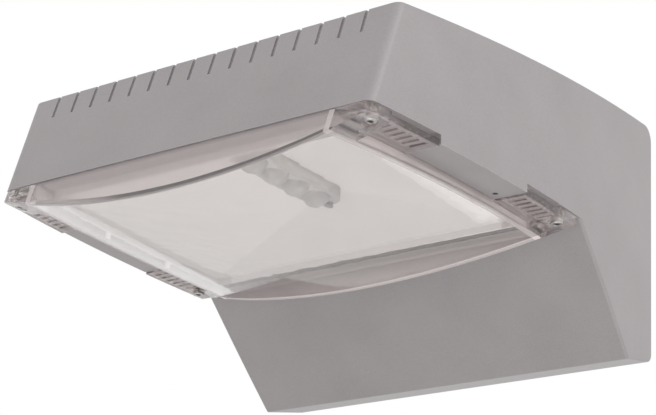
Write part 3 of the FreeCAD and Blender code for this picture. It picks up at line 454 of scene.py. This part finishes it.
@dataclass(frozen=True)
class CoverMoulding(ClearMoulding):
    """Clear cover: polished below, lightly frosted on its walls, with painted warm shade on its
    tabs, sides and front and a painted dark line on the tabs' rims.
    """

    # Painted shade: a warm grey tint that darkens the tabs, the sides and the front wall.
    painted_shade_tint: Colour = tone(210, 201, 200)
    # Painted shade: a dark colour laid as a line along the tabs' outer rims.
    rim_painted_shade: Colour = tone(125, 118, 117)
    frost: Colour = tone(238, 228, 227)
    # The bowed side of the part: half its width, halfway along the side, and its curve there.
    half_width: float = 134.8 * MM
    middle: float = 141.25 * MM
    taper: float = 0.00354
    bow: float = 0.4661
    # How far in from that side the wall, the tabs and the tabs' rims reach.
    wall_inset: float = 24.6 * MM
    wall_blend: float = 0.4 * MM
    tab_inset: float = 21.2 * MM
    tab_blend: float = 0.5 * MM
    rim_inset: float = 1.2 * MM
    # Where the tabs end and the corner blocks begin, from the middle of the cover.
    cover_middle: float = 191.0 * MM
    tab_reach: float = 66.0 * MM
    corner_blend: float = 12.0 * MM
    # The leaning front and rear walls, each from its place at one level.
    front_start: float = 278.8 * MM
    front_lean: float = 0.289
    front_low: float = 18.5 * MM
    front_blend: float = 0.3 * MM
    rear_start: float = 104.5 * MM
    rear_lean: float = 0.765
    rear_low: float = 24.9 * MM
    rear_blend: float = 0.5 * MM
    # The level face between the grooves of the tabs.
    face_low: float = 24.9 * MM
    face_above: float = 0.3 * MM
    face_below: float = 0.2 * MM
    # How strongly each area is roughened, given the painted shade tint, frosted or left to pass
    # light straight on.
    tab_satin: float = 0.07
    wall_satin: float = 0.12
    front_shade_tint: float = 0.6
    side_shade_tint: float = 0.4
    front_frost: float = 0.16
    rear_frost: float = 0.5
    side_frost: float = 0.4
    face_frost: float = 0.2
    side_straight: float = 0.3
    tab_straight: float = 0.4
    corner_bend: float = 0.18
    frost_matt: float = 0.4
    frost_patch: float = 6 * MM
    frost_grain: float = 1 * MM
    frost_relief: float = 0.02 * MM

    def inset(self, graph: Graph) -> Signal:
        """Measure how far a place lies in from the bowed side of the part.

        Args:
            graph: The nodes of the material.

        Returns:
            The distance in metres.
        """
        back = graph.along(Axis.Y) + self.middle
        reach = self.half_width + self.taper * back - self.bow * back * back
        return reach - abs(graph.along(Axis.X))

    def tab_face(self, graph: Graph) -> Signal:
        """Mask the level face between the grooves of the tabs.

        Args:
            graph: The nodes of the material.

        Returns:
            The mask.
        """
        height = graph.along(Axis.Z) + self.face_low
        below = height.rise(2 * self.face_above, self.face_above)
        return below * height.rise(-2 * self.face_below, -self.face_below)

    def zones(self, graph: Graph) -> CoverZones:
        """Find the areas of the cover.

        Args:
            graph: The nodes of the material.

        Returns:
            The mask of each area.
        """
        across, up = graph.along(Axis.Y), graph.along(Axis.Z)
        inset = self.inset(graph)
        tab = inset.rise(self.tab_inset, self.tab_inset - self.tab_blend)
        bowl = 1.0 - tab
        from_middle = abs(across + self.cover_middle)
        corner = from_middle.rise(self.tab_reach, self.tab_reach + self.corner_blend)
        rim = inset.rise(self.rim_inset, self.rim_inset - self.wall_blend) * (1.0 - corner)
        ahead = across - self.front_lean * (up + self.front_low)
        behind = across - self.rear_lean * (up + self.rear_low)
        return CoverZones(
            tab=tab,
            flat=tab * (1.0 - rim),
            rim=rim,
            corner=corner,
            side=inset.rise(self.wall_inset, self.wall_inset - self.wall_blend) * bowl,
            front=ahead.rise(-self.front_start, -self.front_start - self.front_blend) * bowl,
            rear=behind.rise(-self.rear_start, self.rear_blend - self.rear_start) * bowl,
        )

    def frosted(self, graph: Graph) -> Signal:
        """Build the frosted plastic that is mixed into the walls."""
        rough = self.frost_matt + 0.1 * graph.grain(self.frost_patch)
        return graph.coat(self.frost, rough, graph.grain(self.frost_grain), self.frost_relief)

    def shader(self, graph: Graph) -> Signal:
        """Build the cover with frosted walls, painted warm shade on its tabs and walls, and a
        painted dark line on the tabs' rims.

        Args:
            graph: The nodes of its material.

        Returns:
            The shader.
        """
        zone = self.zones(graph)
        # Painted shade: the warm grey tint is mixed in on the tabs, sides and front.
        shade_tinted = zone.tab + self.side_shade_tint * zone.side + self.front_shade_tint * zone.front
        base = graph.mix(shade_tinted, self.body(graph), self.painted_shade_tint)
        # Painted shade: a dark line along the tabs' outer rims.
        base = graph.mix(zone.rim, base, self.rim_painted_shade)
        satin = self.tab_satin * zone.tab + self.wall_satin * (zone.front + zone.rear)
        straight = zone.flat * (self.tab_straight - self.corner_bend * zone.corner)
        straight = self.side_straight * zone.side + straight
        clear = self.build(graph, base, self.gloss(graph) + satin, 1.0 - straight)
        haze = self.front_frost * zone.front + self.rear_frost * zone.rear
        haze = haze + self.side_frost * zone.side
        haze = haze + self.face_frost * zone.flat * self.tab_face(graph)
        cover = graph.blend(haze, clear, self.frosted(graph))
        return graph.let_lamps_through(cover, self.colour)


@dataclass(frozen=True)
class Moulding(Finish):
    """Opaque moulded plastic with a fine spark grain and slight flow clouds."""

    matt: float = 0.5
    spark: float = 0.5 * MM
    flow: float = 18 * MM
    edge: float = 0.4 * MM
    relief: float = 0.02 * MM

    def shader(self, graph: Graph) -> Signal:
        """Build the plastic with its grain, clouds and pale edges.

        Args:
            graph: The nodes of its material.

        Returns:
            The shader.
        """
        spark = graph.grain(self.spark, detail=2.0)
        flow = graph.grain(self.flow, detail=3.0)
        rough = self.matt + 0.1 * flow + 0.06 * spark
        return graph.coat(self.body(graph, flow), rough, spark, self.relief)

    def body(self, graph: Graph, flow: Signal) -> Signal:
        """Give the colour with its clouds and pale edges.

        Args:
            graph: The nodes of its material.
            flow: The noise of its clouds.

        Returns:
            The colour.
        """
        pale = graph.edge(self.edge).rise(0.05, 0.5)
        clouded = graph.mix(flow, tinted(self.colour, 0.92), self.colour)
        return graph.mix(0.3 * pale, clouded, tinted(self.colour, 1.08, 0.01))


@dataclass(frozen=True)
class TrayMoulding(Moulding):
    """White reflector plastic, with a painted shade that makes its side lips a little greyer."""

    # Painted shade: the greyer colour given to the side lips.
    painted_lip_shade: Colour = tone(214, 209, 208)
    lip_side: float = 95 * MM
    lip_top: float = -19.4 * MM
    lip_foot: float = -23.8 * MM
    side_blend: float = 2 * MM
    top_blend: float = 0.4 * MM
    foot_blend: float = 0.2 * MM

    def body(self, graph: Graph, flow: Signal) -> Signal:
        """Give the colour of the tray, with a painted shade greying its side lips.

        Args:
            graph: The nodes of its material.
            flow: The noise of its clouds.

        Returns:
            The colour.
        """
        # Painted shade: the side lips, between two levels and away from the middle, are made
        # greyer.
        up = graph.along(Axis.Z)
        painted_lip_shade = up.rise(self.lip_top, self.lip_top - self.top_blend)
        painted_lip_shade = painted_lip_shade * up.rise(self.lip_foot, self.lip_foot + self.foot_blend)
        aside = abs(graph.along(Axis.X)).rise(self.lip_side, self.lip_side + self.side_blend)
        return graph.mix(painted_lip_shade * aside, super().body(graph, flow), self.painted_lip_shade)


@dataclass(frozen=True)
class SoftRubber(Finish):
    """Moulded rubber, silicone or foam with a dull bloom."""

    pore: float = 0.6 * MM
    bloom: float = 9 * MM
    relief: float = 0.06 * MM
    matt: float = 0.62

    def shader(self, graph: Graph) -> Signal:
        """Build the rubber with its pores and bloom.

        Args:
            graph: The nodes of its material.

        Returns:
            The shader.
        """
        pore = graph.cells(self.pore)
        bloom = graph.grain(self.bloom, detail=4.0).rise(0.45, 0.75)
        base = graph.mix(0.5 * bloom, self.colour, tinted(self.colour, 1.2, 0.01))
        return graph.coat(base, self.matt + 0.2 * bloom, pore, self.relief)


@dataclass(frozen=True)
class TurnedMetal(Finish):
    """A turned or rolled metal fastener with fine tool marks and rubbed edges."""

    lay: Lay = Lay.AROUND_Z
    matt: float = 0.2
    mark: float = 0.12 * MM
    stain: float = 2.5 * MM
    edge: float = 0.25 * MM
    relief: float = 0.012 * MM

    def shader(self, graph: Graph) -> Signal:
        """Build the metal with its tool marks, stains and bright edges.

        Args:
            graph: The nodes of its material.

        Returns:
            The shader.
        """
        mark = graph.grain(self.mark, self.lay, 1.0)
        stain = graph.grain(self.stain, detail=4.0)
        bright = graph.edge(self.edge).rise(0.03, 0.4)
        base = graph.mix(stain.rise(0.35, 0.7), self.colour, tinted(self.colour, 0.72))
        base = graph.mix(0.6 * bright, base, tinted(self.colour, 1.25))
        rough = self.matt + 0.12 * mark + 0.12 * stain - 0.06 * bright
        return graph.coat(base, rough, mark, self.relief, Metallic=1.0)


@dataclass(frozen=True)
class SheetMetal(Finish):
    """Sheet metal with the lay of its rolling and the spangle of its plating."""

    lay: Lay = Lay.ALONG_X
    spangle: float = 0.0
    brush: float = 0.5 * MM
    smear: float = 22 * MM
    edge: float = 0.4 * MM
    relief: float = 0.015 * MM
    matt: float = 0.28
    metal: float = 0.9

    def shader(self, graph: Graph) -> Signal:
        """Build the sheet with its lay, spangle and handling marks.

        Args:
            graph: The nodes of its material.

        Returns:
            The shader.
        """
        brushed = graph.grain(self.brush, self.lay, 3.0)
        smear = graph.grain(self.smear, detail=5.0)
        share = 0.5 * brushed + 0.5 * smear
        if self.spangle:
            flower = graph.cells(self.spangle, "Color")
            share = 0.3 * share + 0.7 * graph.take("ShaderNodeSeparateColor", sockets={0: flower})
        bright = graph.edge(self.edge).rise(0.03, 0.4)
        base = graph.mix(share, tinted(self.colour, 0.74), self.colour)
        base = graph.mix(0.4 * bright, base, self.colour)
        rough = self.matt + 0.16 * share + 0.08 * smear - 0.08 * bright
        return graph.coat(base, rough, brushed, self.relief, Metallic=self.metal)


@dataclass(frozen=True)
class CircuitBoard(Finish):
    """A printed board: tracks under a solder mask and tinned pads."""

    track: Colour
    pad: Colour
    pitch: float = 2.54 * MM
    area: float = 9 * MM
    group: float = 5 * MM
    grit: float = 1.2 * MM
    relief: float = 0.05 * MM
    matt: float = 0.32

    def shader(self, graph: Graph) -> Signal:
        """Build the board's mask, tracks and pads.

        Args:
            graph: The nodes of its material.

        Returns:
            The shader.
        """
        half = 0.5 * self.pitch
        across, down = (
            abs(graph.along(axis).repeat(self.pitch) - half) for axis in (Axis.X, Axis.Y)
        )
        area = graph.grain(self.area, detail=0.0).rise(0.5, 0.52)
        line, other = (
            place.rise(0.3 * self.pitch, 0.2 * self.pitch) for place in (across, down)
        )
        track = area * line + (1.0 - area) * other
        ring = (across * across + down * down) ** 0.5
        chosen = graph.grain(self.group, detail=0.0).rise(0.56, 0.58)
        pad = ring.rise(0.32 * self.pitch, 0.26 * self.pitch) * chosen
        base = graph.mix(pad, graph.mix(track, self.colour, self.track), self.pad)
        rough = self.matt + 0.12 * graph.grain(self.grit) - 0.1 * pad
        return graph.coat(base, rough, 0.6 * track + 0.4 * pad, self.relief)


@dataclass(frozen=True)
class LampChip(Finish):
    """A lamp chip: a round of phosphor in a white ceramic package."""

    phosphor: Colour
    first: float = -219 * MM
    pitch: float = 56 / 3 * MM
    radius: float = 1.9 * MM
    grit: float = 0.15 * MM
    relief: float = 0.08 * MM
    matt: float = 0.35

    def shader(self, graph: Graph) -> Signal:
        """Build the package and the phosphor round in its middle.

        Args:
            graph: The nodes of its material.

        Returns:
            The shader.
        """
        row = graph.along(Axis.Y) - (self.first - 0.5 * self.pitch)
        run = row.repeat(self.pitch) - 0.5 * self.pitch
        side = graph.along(Axis.X)
        reach = (run * run + side * side) ** 0.5
        round_face = reach.rise(1.04 * self.radius, 0.96 * self.radius)
        grit = graph.grain(self.grit)
        yellow = graph.mix(grit, tinted(self.phosphor, 0.85), self.phosphor)
        base = graph.mix(round_face, self.colour, yellow)
        height = 0.3 * grit + 0.7 * (1.0 - round_face)
        return graph.coat(base, self.matt + 0.15 * grit, height, self.relief)


@dataclass(frozen=True)
class Banded(Finish):
    """Two colours in bands along one axis, such as a lamination stack or a sleeve."""

    second: Colour
    axis: Axis = Axis.X
    pitch: float = 0.7 * MM
    share: float = 0.3
    shine: float = 0.0
    stain: float = 3 * MM
    relief: float = 0.06 * MM
    matt: float = 0.35

    def shader(self, graph: Graph) -> Signal:
        """Build the bands with a soft step between them and faint stains.

        Args:
            graph: The nodes of its material.

        Returns:
            The shader.
        """
        step = self.share * self.pitch
        band = graph.along(self.axis).repeat(self.pitch).rise(0.98 * step, 1.02 * step)
        stain = graph.grain(self.stain, detail=4.0)
        stained = graph.mix(stain, tinted(self.colour, 0.8), self.colour)
        base = graph.mix(band, self.second, stained)
        return graph.coat(base, self.matt + 0.25 * stain, band, self.relief, Metallic=self.shine)


@dataclass(frozen=True)
class FloorPaint(Finish):
    """Pale matt paint with slow clouds."""

    light: Colour
    cloud: float = 600 * MM
    relief: float = 0.5 * MM
    matt: float = 0.6

    def shader(self, graph: Graph) -> Signal:
        """Build the paint with its clouds.

        Args:
            graph: The nodes of its material.

        Returns:
            The shader.
        """
        cloud = graph.grain(self.cloud, detail=3.0)
        base = graph.mix(cloud, self.colour, self.light)
        return graph.coat(base, self.matt + 0.1 * cloud, cloud, self.relief)


# The second colour is the paler edge colour: partly wear, partly a painted highlight.
SILVER = CastPaint("silver_paint", tone(166, 161, 162), tone(205, 203, 203))
CLEAR = CoverMoulding("clear_cover_plastic", tone(254, 252, 251))
LENS = ClearMoulding(
    "clear_lens_plastic", tone(250, 249, 249), wave=4 * MM, ripple=0.8 * MM, clarity=0.55
)
WHITE = TrayMoulding("white_reflector_plastic", tone(246, 243, 243), matt=0.42)
NYLON = Moulding("natural_nylon", tone(222, 217, 203), matt=0.5)
BLACK = Moulding("black_plastic", tone(30, 30, 32), matt=0.4)
GREY = Moulding("grey_polyamide", tone(120, 122, 124), matt=0.5)
SEAL = SoftRubber("black_seal_rubber", tone(17, 16, 18))
SILICONE = SoftRubber("grey_seal_silicone", tone(142, 136, 136))
FOAM = SoftRubber("black_foam_strip", tone(38, 38, 40), pore=1.4 * MM)
STEEL = TurnedMetal("bright_steel", tone(205, 203, 200), matt=0.14)
PLATED = TurnedMetal("zinc_plated_steel", tone(186, 188, 190), matt=0.26)
PLATED_BACK = TurnedMetal("zinc_plated_rear_screws", tone(186, 188, 190), Lay.AROUND_Y, 0.26)
BRASS = TurnedMetal("turned_brass", tone(214, 178, 110), matt=0.2)
BRASS_BACK = TurnedMetal("turned_brass_rear", tone(214, 178, 110), Lay.AROUND_Y, 0.2)
ZINC = SheetMetal("zinc_coated_sheet", tone(178, 182, 186), Lay.ALONG_X, 9 * MM)
MILL = SheetMetal("mill_finish_aluminium", tone(200, 201, 203), Lay.ALONG_Z)
SPREADER = SheetMetal("spreader_aluminium", tone(196, 197, 199), Lay.ALONG_Y)
STRAP = SheetMetal("spring_strap_steel", tone(150, 151, 154), Lay.ALONG_Y)
GREEN_BOARD = CircuitBoard(
    "green_control_board", tone(24, 84, 50), tone(52, 122, 74), tone(200, 200, 198)
)
WHITE_BOARD = CircuitBoard(
    "white_lamp_board", tone(224, 224, 220), tone(206, 207, 204), tone(210, 196, 150)
)
CHIP = LampChip("lamp_chip", tone(232, 230, 222), tone(236, 196, 62))
CORE = Banded("transformer_stack", tone(112, 110, 108), tone(56, 54, 52), shine=0.6)
CANS = Banded(
    "capacitor_sleeve", tone(34, 44, 74), tone(190, 192, 194), Axis.Z, pitch=40 * MM, share=0.05
)
CELLS = Banded(
    "cell_sleeve", tone(46, 92, 60), tone(150, 150, 150), pitch=49.4 * MM, share=0.04
)
FLOOR = FloorPaint("pale_floor", tone(232, 232, 231), tone(240, 240, 239))


def new_piece(
    name: str, mesh: bmesh.types.BMesh, finish: Finish, body: str
) -> bpy.types.Object:
    """Turn a finished mesh into a piece that rides on a body.

    Args:
        name: The piece's name.
        mesh: The mesh, in metres in the part's frame; it is used up.
        finish: The finish it gets.
        body: The body that it moves with.

    Returns:
        The piece.
    """
    data = bpy.data.meshes.new(name)
    bmesh.ops.recalc_face_normals(mesh, faces=mesh.faces)
    mesh.to_mesh(data)
    mesh.free()
    piece = bpy.data.objects.new(name, data)
    bpy.context.scene.collection.objects.link(piece)
    finish.put_on(piece)
    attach(piece, body)
    LOG.info("piece %s on %s, %d faces", name, body, len(data.polygons))
    return piece


def dress_nodes(nodes: Nodes, finishes: dict[str, Finish]) -> None:
    """Give solids of the frame their finishes.

    Args:
        nodes: The frame's solids by name.
        finishes: The finish of each named solid.
    """
    for name, finish in finishes.items():
        finish.put_on(nodes[name])
        LOG.info("solid %s in %s", name, finish.name)


@dataclass
class Casting:
    """The painted housing."""

    finish: Finish = SILVER

    def build(self, nodes: Nodes) -> None:
        """Dress the housing and the threads that are pressed into it."""
        dress_nodes(nodes, {"housing": self.finish, "thread_inserts": BRASS})


@dataclass
class SocketScrew:
    """A socket head cap screw that points up, with a knurled head and a rolled thread."""

    head_radius: float = 3.5 * MM
    head_height: float = 4.0 * MM
    chamfer: float = 0.35 * MM
    chamfer_ease: float = 0.05 * MM
    knurl_depth: float = 0.16 * MM
    knurl_step: int = 3
    socket_across: float = 3.0 * MM
    socket_depth: float = 2.2 * MM
    socket_lip: float = 0.15 * MM
    socket_mouth: float = 0.62
    socket_cone: float = 0.5 * MM
    thread_radius: float = 2.0 * MM
    thread_depth: float = 0.25 * MM
    thread_pitch: float = 0.7 * MM
    plain_turns: int = 3
    tip_share: float = 0.75
    length: float = 14.0 * MM
    sides: int = 72

    def circle(self, radius: float, height: float, knurl: float = 0.0) -> list[Vector]:
        """Give one ring of points.

        Args:
            radius: The ring's radius.
            height: Its height over the head's face.
            knurl: How deep the points of the knurl's furrows are cut in.

        Returns:
            The points.
        """
        turn = 2 * math.pi / self.sides
        ring = []
        for i in range(self.sides):
            reach = radius - knurl * (i % self.knurl_step == 0)
            ring.append(Vector((reach * math.cos(i * turn), reach * math.sin(i * turn), height)))
        return ring

    def hexagon(self, height: float) -> list[Vector]:
        """Give one ring of points on the socket's six walls.

        Args:
            height: Its height over the head's face.

        Returns:
            The points.
        """
        ring = self.circle(1.0, height)
        sixth = math.pi / 3
        for point in ring:
            swing = (math.atan2(point.y, point.x) % sixth) - 0.5 * sixth
            reach = 0.5 * self.socket_across / math.cos(swing)
            point.x *= reach
            point.y *= reach
        return ring

    def rings(self) -> list[list[Vector]]:
        """List the screw's rings from the bottom of its socket to its tip.

        Returns:
            The rings of points.
        """
        high = self.head_height
        end = high + self.length
        edge = self.head_radius - self.chamfer
        rings = [
            self.hexagon(self.socket_depth),
            self.hexagon(self.socket_lip),
            self.circle(self.socket_mouth * self.socket_across, 0.0),
            self.circle(edge, 0.0),
            self.circle(self.head_radius - self.chamfer_ease, self.chamfer),
            self.circle(self.head_radius, 2 * self.chamfer, self.knurl_depth),
            self.circle(self.head_radius, high - 2 * self.chamfer, self.knurl_depth),
            self.circle(edge, high - 0.5 * self.chamfer),
            self.circle(edge, high),
            self.circle(self.thread_radius, high),
        ]
        root = self.thread_radius - self.thread_depth
        level = high + self.plain_turns * self.thread_pitch
        while level < end - 2 * self.thread_pitch:
            rings.append(self.circle(self.thread_radius, level))
            rings.append(self.circle(root, level + 0.5 * self.thread_pitch))
            level += self.thread_pitch
        rings.append(self.circle(self.thread_radius, end - self.thread_pitch))
        rings.append(self.circle(self.tip_share * self.thread_radius, end))
        return rings

    def mesh(self, foot: Vector) -> bmesh.types.BMesh:
        """Build the screw with the middle of its head's face at a point.

        Args:
            foot: That point.

        Returns:
            The closed mesh.
        """
        made = bmesh.new()
        rows = [[made.verts.new(foot + point) for point in ring] for ring in self.rings()]
        for low, high in zip(rows, rows[1:]):
            for i in range(self.sides):
                j = (i + 1) % self.sides
                made.faces.new((low[i], low[j], high[j], high[i]))
        pit = made.verts.new(foot + Vector((0.0, 0.0, self.socket_depth + self.socket_cone)))
        tip = made.verts.new(foot + Vector((0.0, 0.0, self.head_height + self.length)))
        for i in range(self.sides):
            j = (i + 1) % self.sides
            made.faces.new((rows[0][j], rows[0][i], pit))
            made.faces.new((rows[-1][i], rows[-1][j], tip))
        return made


@dataclass
class ClearCover:
    """The clear cover with its seal and its four screws."""

    screw: SocketScrew

    def screw_feet(self, node: bpy.types.Object) -> list[Vector]:
        """Find the middle of each screw's head face from the frame's screws.

        Args:
            node: The solid that holds the four screws.

        Returns:
            The four points.
        """
        points = [vertex.co for vertex in node.data.vertices]
        low = min(point.z for point in points)
        middle = halfway([point.y for point in points])
        feet = []
        for right in (False, True):
            for rear in (False, True):
                own = [p for p in points if (p.x > 0) == right and (p.y > middle) == rear]
                feet.append(Vector((halfway([p.x for p in own]), halfway([p.y for p in own]), low)))
        return feet

    def build(self, nodes: Nodes) -> None:
        """Dress the cover and its seal, and put detailed screws in place of the plain ones.

        Args:
            nodes: The frame's solids by name.
        """
        dress_nodes(nodes, {"lens_cover": CLEAR, "cover_seal": SILICONE})
        for number, foot in enumerate(self.screw_feet(nodes["cover_screws"]), 1):
            mesh = self.screw.mesh(foot)
            piece = new_piece(f"cover_screw_{number}", mesh, STEEL, "cover")
            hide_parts("cover_screws")


@dataclass
class LampHouse:
    """The white reflector and the lamp module in its crown."""

    def build(self, nodes: Nodes) -> None:
        """Dress the reflector, the lens bar, the lamp board and what holds them.

        Args:
            nodes: The frame's solids by name.
        """
        finishes = {
            "reflector": WHITE,
            "led_optic": LENS,
            "optic_screws": PLATED,
            "led_board": WHITE_BOARD,
            "led_chips": CHIP,
            "heat_spreader": SPREADER,
            "lamp_spacers": BRASS,
            "lamp_screws": PLATED,
        }
        dress_nodes(nodes, finishes)


@dataclass
class Gear:
    """The gear tray with the battery and the electronics on it."""

    def build(self, nodes: Nodes) -> None:
        """Dress the tray and everything that stands on it.

        Args:
            nodes: The frame's solids by name.
        """
        finishes = {
            "gear_tray": ZINC,
            "tray_screws": PLATED,
            "control_board": GREEN_BOARD,
            "board_spacers": NYLON,
            "transformer": CORE,
            "capacitors": CANS,
            "board_connectors": NYLON,
            "led_driver": BLACK,
            "battery_cells": CELLS,
            "battery_saddles": BLACK,
            "battery_straps": STRAP,
            "strap_screws": PLATED,
        }
        dress_nodes(nodes, finishes)


@dataclass
class TestKey:
    """The small test button in the right land and the switch behind it."""

    def build(self, nodes: Nodes) -> None:
        """Dress the button and its switch."""
        dress_nodes(nodes, {"test_button": BLACK, "test_switch": GREY})


@dataclass
class WallFixing:
    """The wall plate with its seal, the cable entry, the terminals and the earth stud."""

    def build(self, nodes: Nodes) -> None:
        """Dress what sits against the wall.

        Args:
            nodes: The frame's solids by name.
        """
        finishes = {
            "wall_plate": MILL,
            "wall_seal": FOAM,
            "plate_screws": PLATED_BACK,
            "cable_grommet": SEAL,
            "terminal_block": GREY,
            "terminal_screws": PLATED_BACK,
            "earth_stud": BRASS_BACK,
            "earth_nut": BRASS_BACK,
        }
        dress_nodes(nodes, finishes)


@dataclass(frozen=True)
class Lamp:
    """A square soft studio lamp that looks at the part."""

    name: str
    place: Triple
    size: float
    power: float
    aim: Triple = (0.0, -0.14, 0.0)

    def build(self) -> None:
        """Put the lamp in the scene."""
        data = bpy.data.lights.new(self.name, "AREA")
        data.shape = "SQUARE"
        data.size = self.size
        data.energy = self.power
        lamp = bpy.data.objects.new(self.name, data)
        lamp.visible_camera = False
        lamp.location = self.place
        sight = Vector(self.aim) - lamp.location
        lamp.rotation_euler = sight.to_track_quat("-Z", "Y").to_euler()
        bpy.context.scene.collection.objects.link(lamp)


@dataclass
class Studio:
    """A pale floor, soft lamps, a white surround and the camera."""

    camera_place: Triple = (0.660233, -0.994476, -0.422489)
    camera_yaw: float = 38.026
    camera_pitch: float = 21.237
    camera_roll: float = 3.507
    lens: float = 110.713
    sensor: float = 36.0
    floor_level: float = -1.7
    floor_reach: float = 5.0
    floor_flat: float = 0.8
    floor_rise: float = 0.15
    floor_squares: int = 24
    surround: float = 0.72
    lamps: tuple[Lamp, ...] = (
        Lamp("lamp_right", (2.3, -0.2, 0.6), 1.6, 11.0),
        Lamp("lamp_edge", (1.6, -1.4, 0.75), 0.5, 2.0),
        Lamp("lamp_low", (0.35, -0.95, -1.55), 1.4, 7.0),
        Lamp("lamp_under", (0.1, 0.75, -1.4), 1.2, 4.0),
    )

    def build_floor(self) -> None:
        """Lay the floor, far below the part, with a slow rise at its rim."""
        mesh = bmesh.new()
        squares = self.floor_squares
        bmesh.ops.create_grid(mesh, x_segments=squares, y_segments=squares, size=self.floor_reach)
        for vertex in mesh.verts:
            reach = max(0.0, vertex.co.length - self.floor_flat * self.floor_reach)
            vertex.co.z = self.floor_level + self.floor_rise * reach * reach
        data = bpy.data.meshes.new("floor")
        mesh.to_mesh(data)
        mesh.free()
        floor = bpy.data.objects.new("floor", data)
        bpy.context.scene.collection.objects.link(floor)
        FLOOR.put_on(floor)

    def build_surround(self) -> None:
        """Make the world white to the eye, to gloss and to glass, and softer as a light."""
        world = bpy.data.worlds.new("studio_surround")
        bpy.context.scene.world = world
        graph = Graph(world)
        rays = graph.node("ShaderNodeLightPath")
        seen = Signal(graph, rays.outputs["Is Camera Ray"])
        glossy = Signal(graph, rays.outputs["Is Glossy Ray"])
        through = Signal(graph, rays.outputs["Is Transmission Ray"])
        shown = (seen + glossy + through).rise(0.0, 1.0)
        light = self.surround + (1.0 - self.surround) * shown
        sockets = {"Color": (1.0, 1.0, 1.0, 1.0), "Strength": light}
        shader = graph.take("ShaderNodeBackground", sockets=sockets)
        graph.node("ShaderNodeOutputWorld", sockets={"Surface": shader})

    def build_camera(self) -> None:
        """Set the camera where the photograph was taken from."""
        angles = (self.camera_yaw, self.camera_pitch, self.camera_roll)
        yaw, pitch, roll = (math.radians(angle) for angle in angles)
        data = bpy.data.cameras.new("camera")
        data.lens = self.lens
        data.sensor_width = self.sensor
        data.sensor_fit = "HORIZONTAL"
        camera = bpy.data.objects.new("camera", data)
        turn = Matrix.Rotation(yaw, 4, "Z") @ Matrix.Rotation(math.pi / 2 + pitch, 4, "X")
        place = Matrix.Translation(self.camera_place)
        camera.matrix_world = place @ turn @ Matrix.Rotation(roll, 4, "Z")
        bpy.context.scene.collection.objects.link(camera)
        bpy.context.scene.camera = camera

    def build(self) -> None:
        """Set up everything around the part."""
        bpy.context.scene.view_settings.view_transform = "Standard"
        self.build_camera()
        self.build_floor()
        self.build_surround()
        for lamp in self.lamps:
            lamp.build()
        LOG.info("studio with %d lamps", len(self.lamps))


def main() -> None:
    """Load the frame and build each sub-assembly in order."""
    logging.basicConfig(level=logging.INFO, format="%(message)s")
    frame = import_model()
    nodes = frame["nodes"]
    Studio().build()
    Casting().build(nodes)
    ClearCover(SocketScrew()).build(nodes)
    LampHouse().build(nodes)
    Gear().build(nodes)
    TestKey().build(nodes)
    WallFixing().build(nodes)


if __name__ == "__main__":
    main()
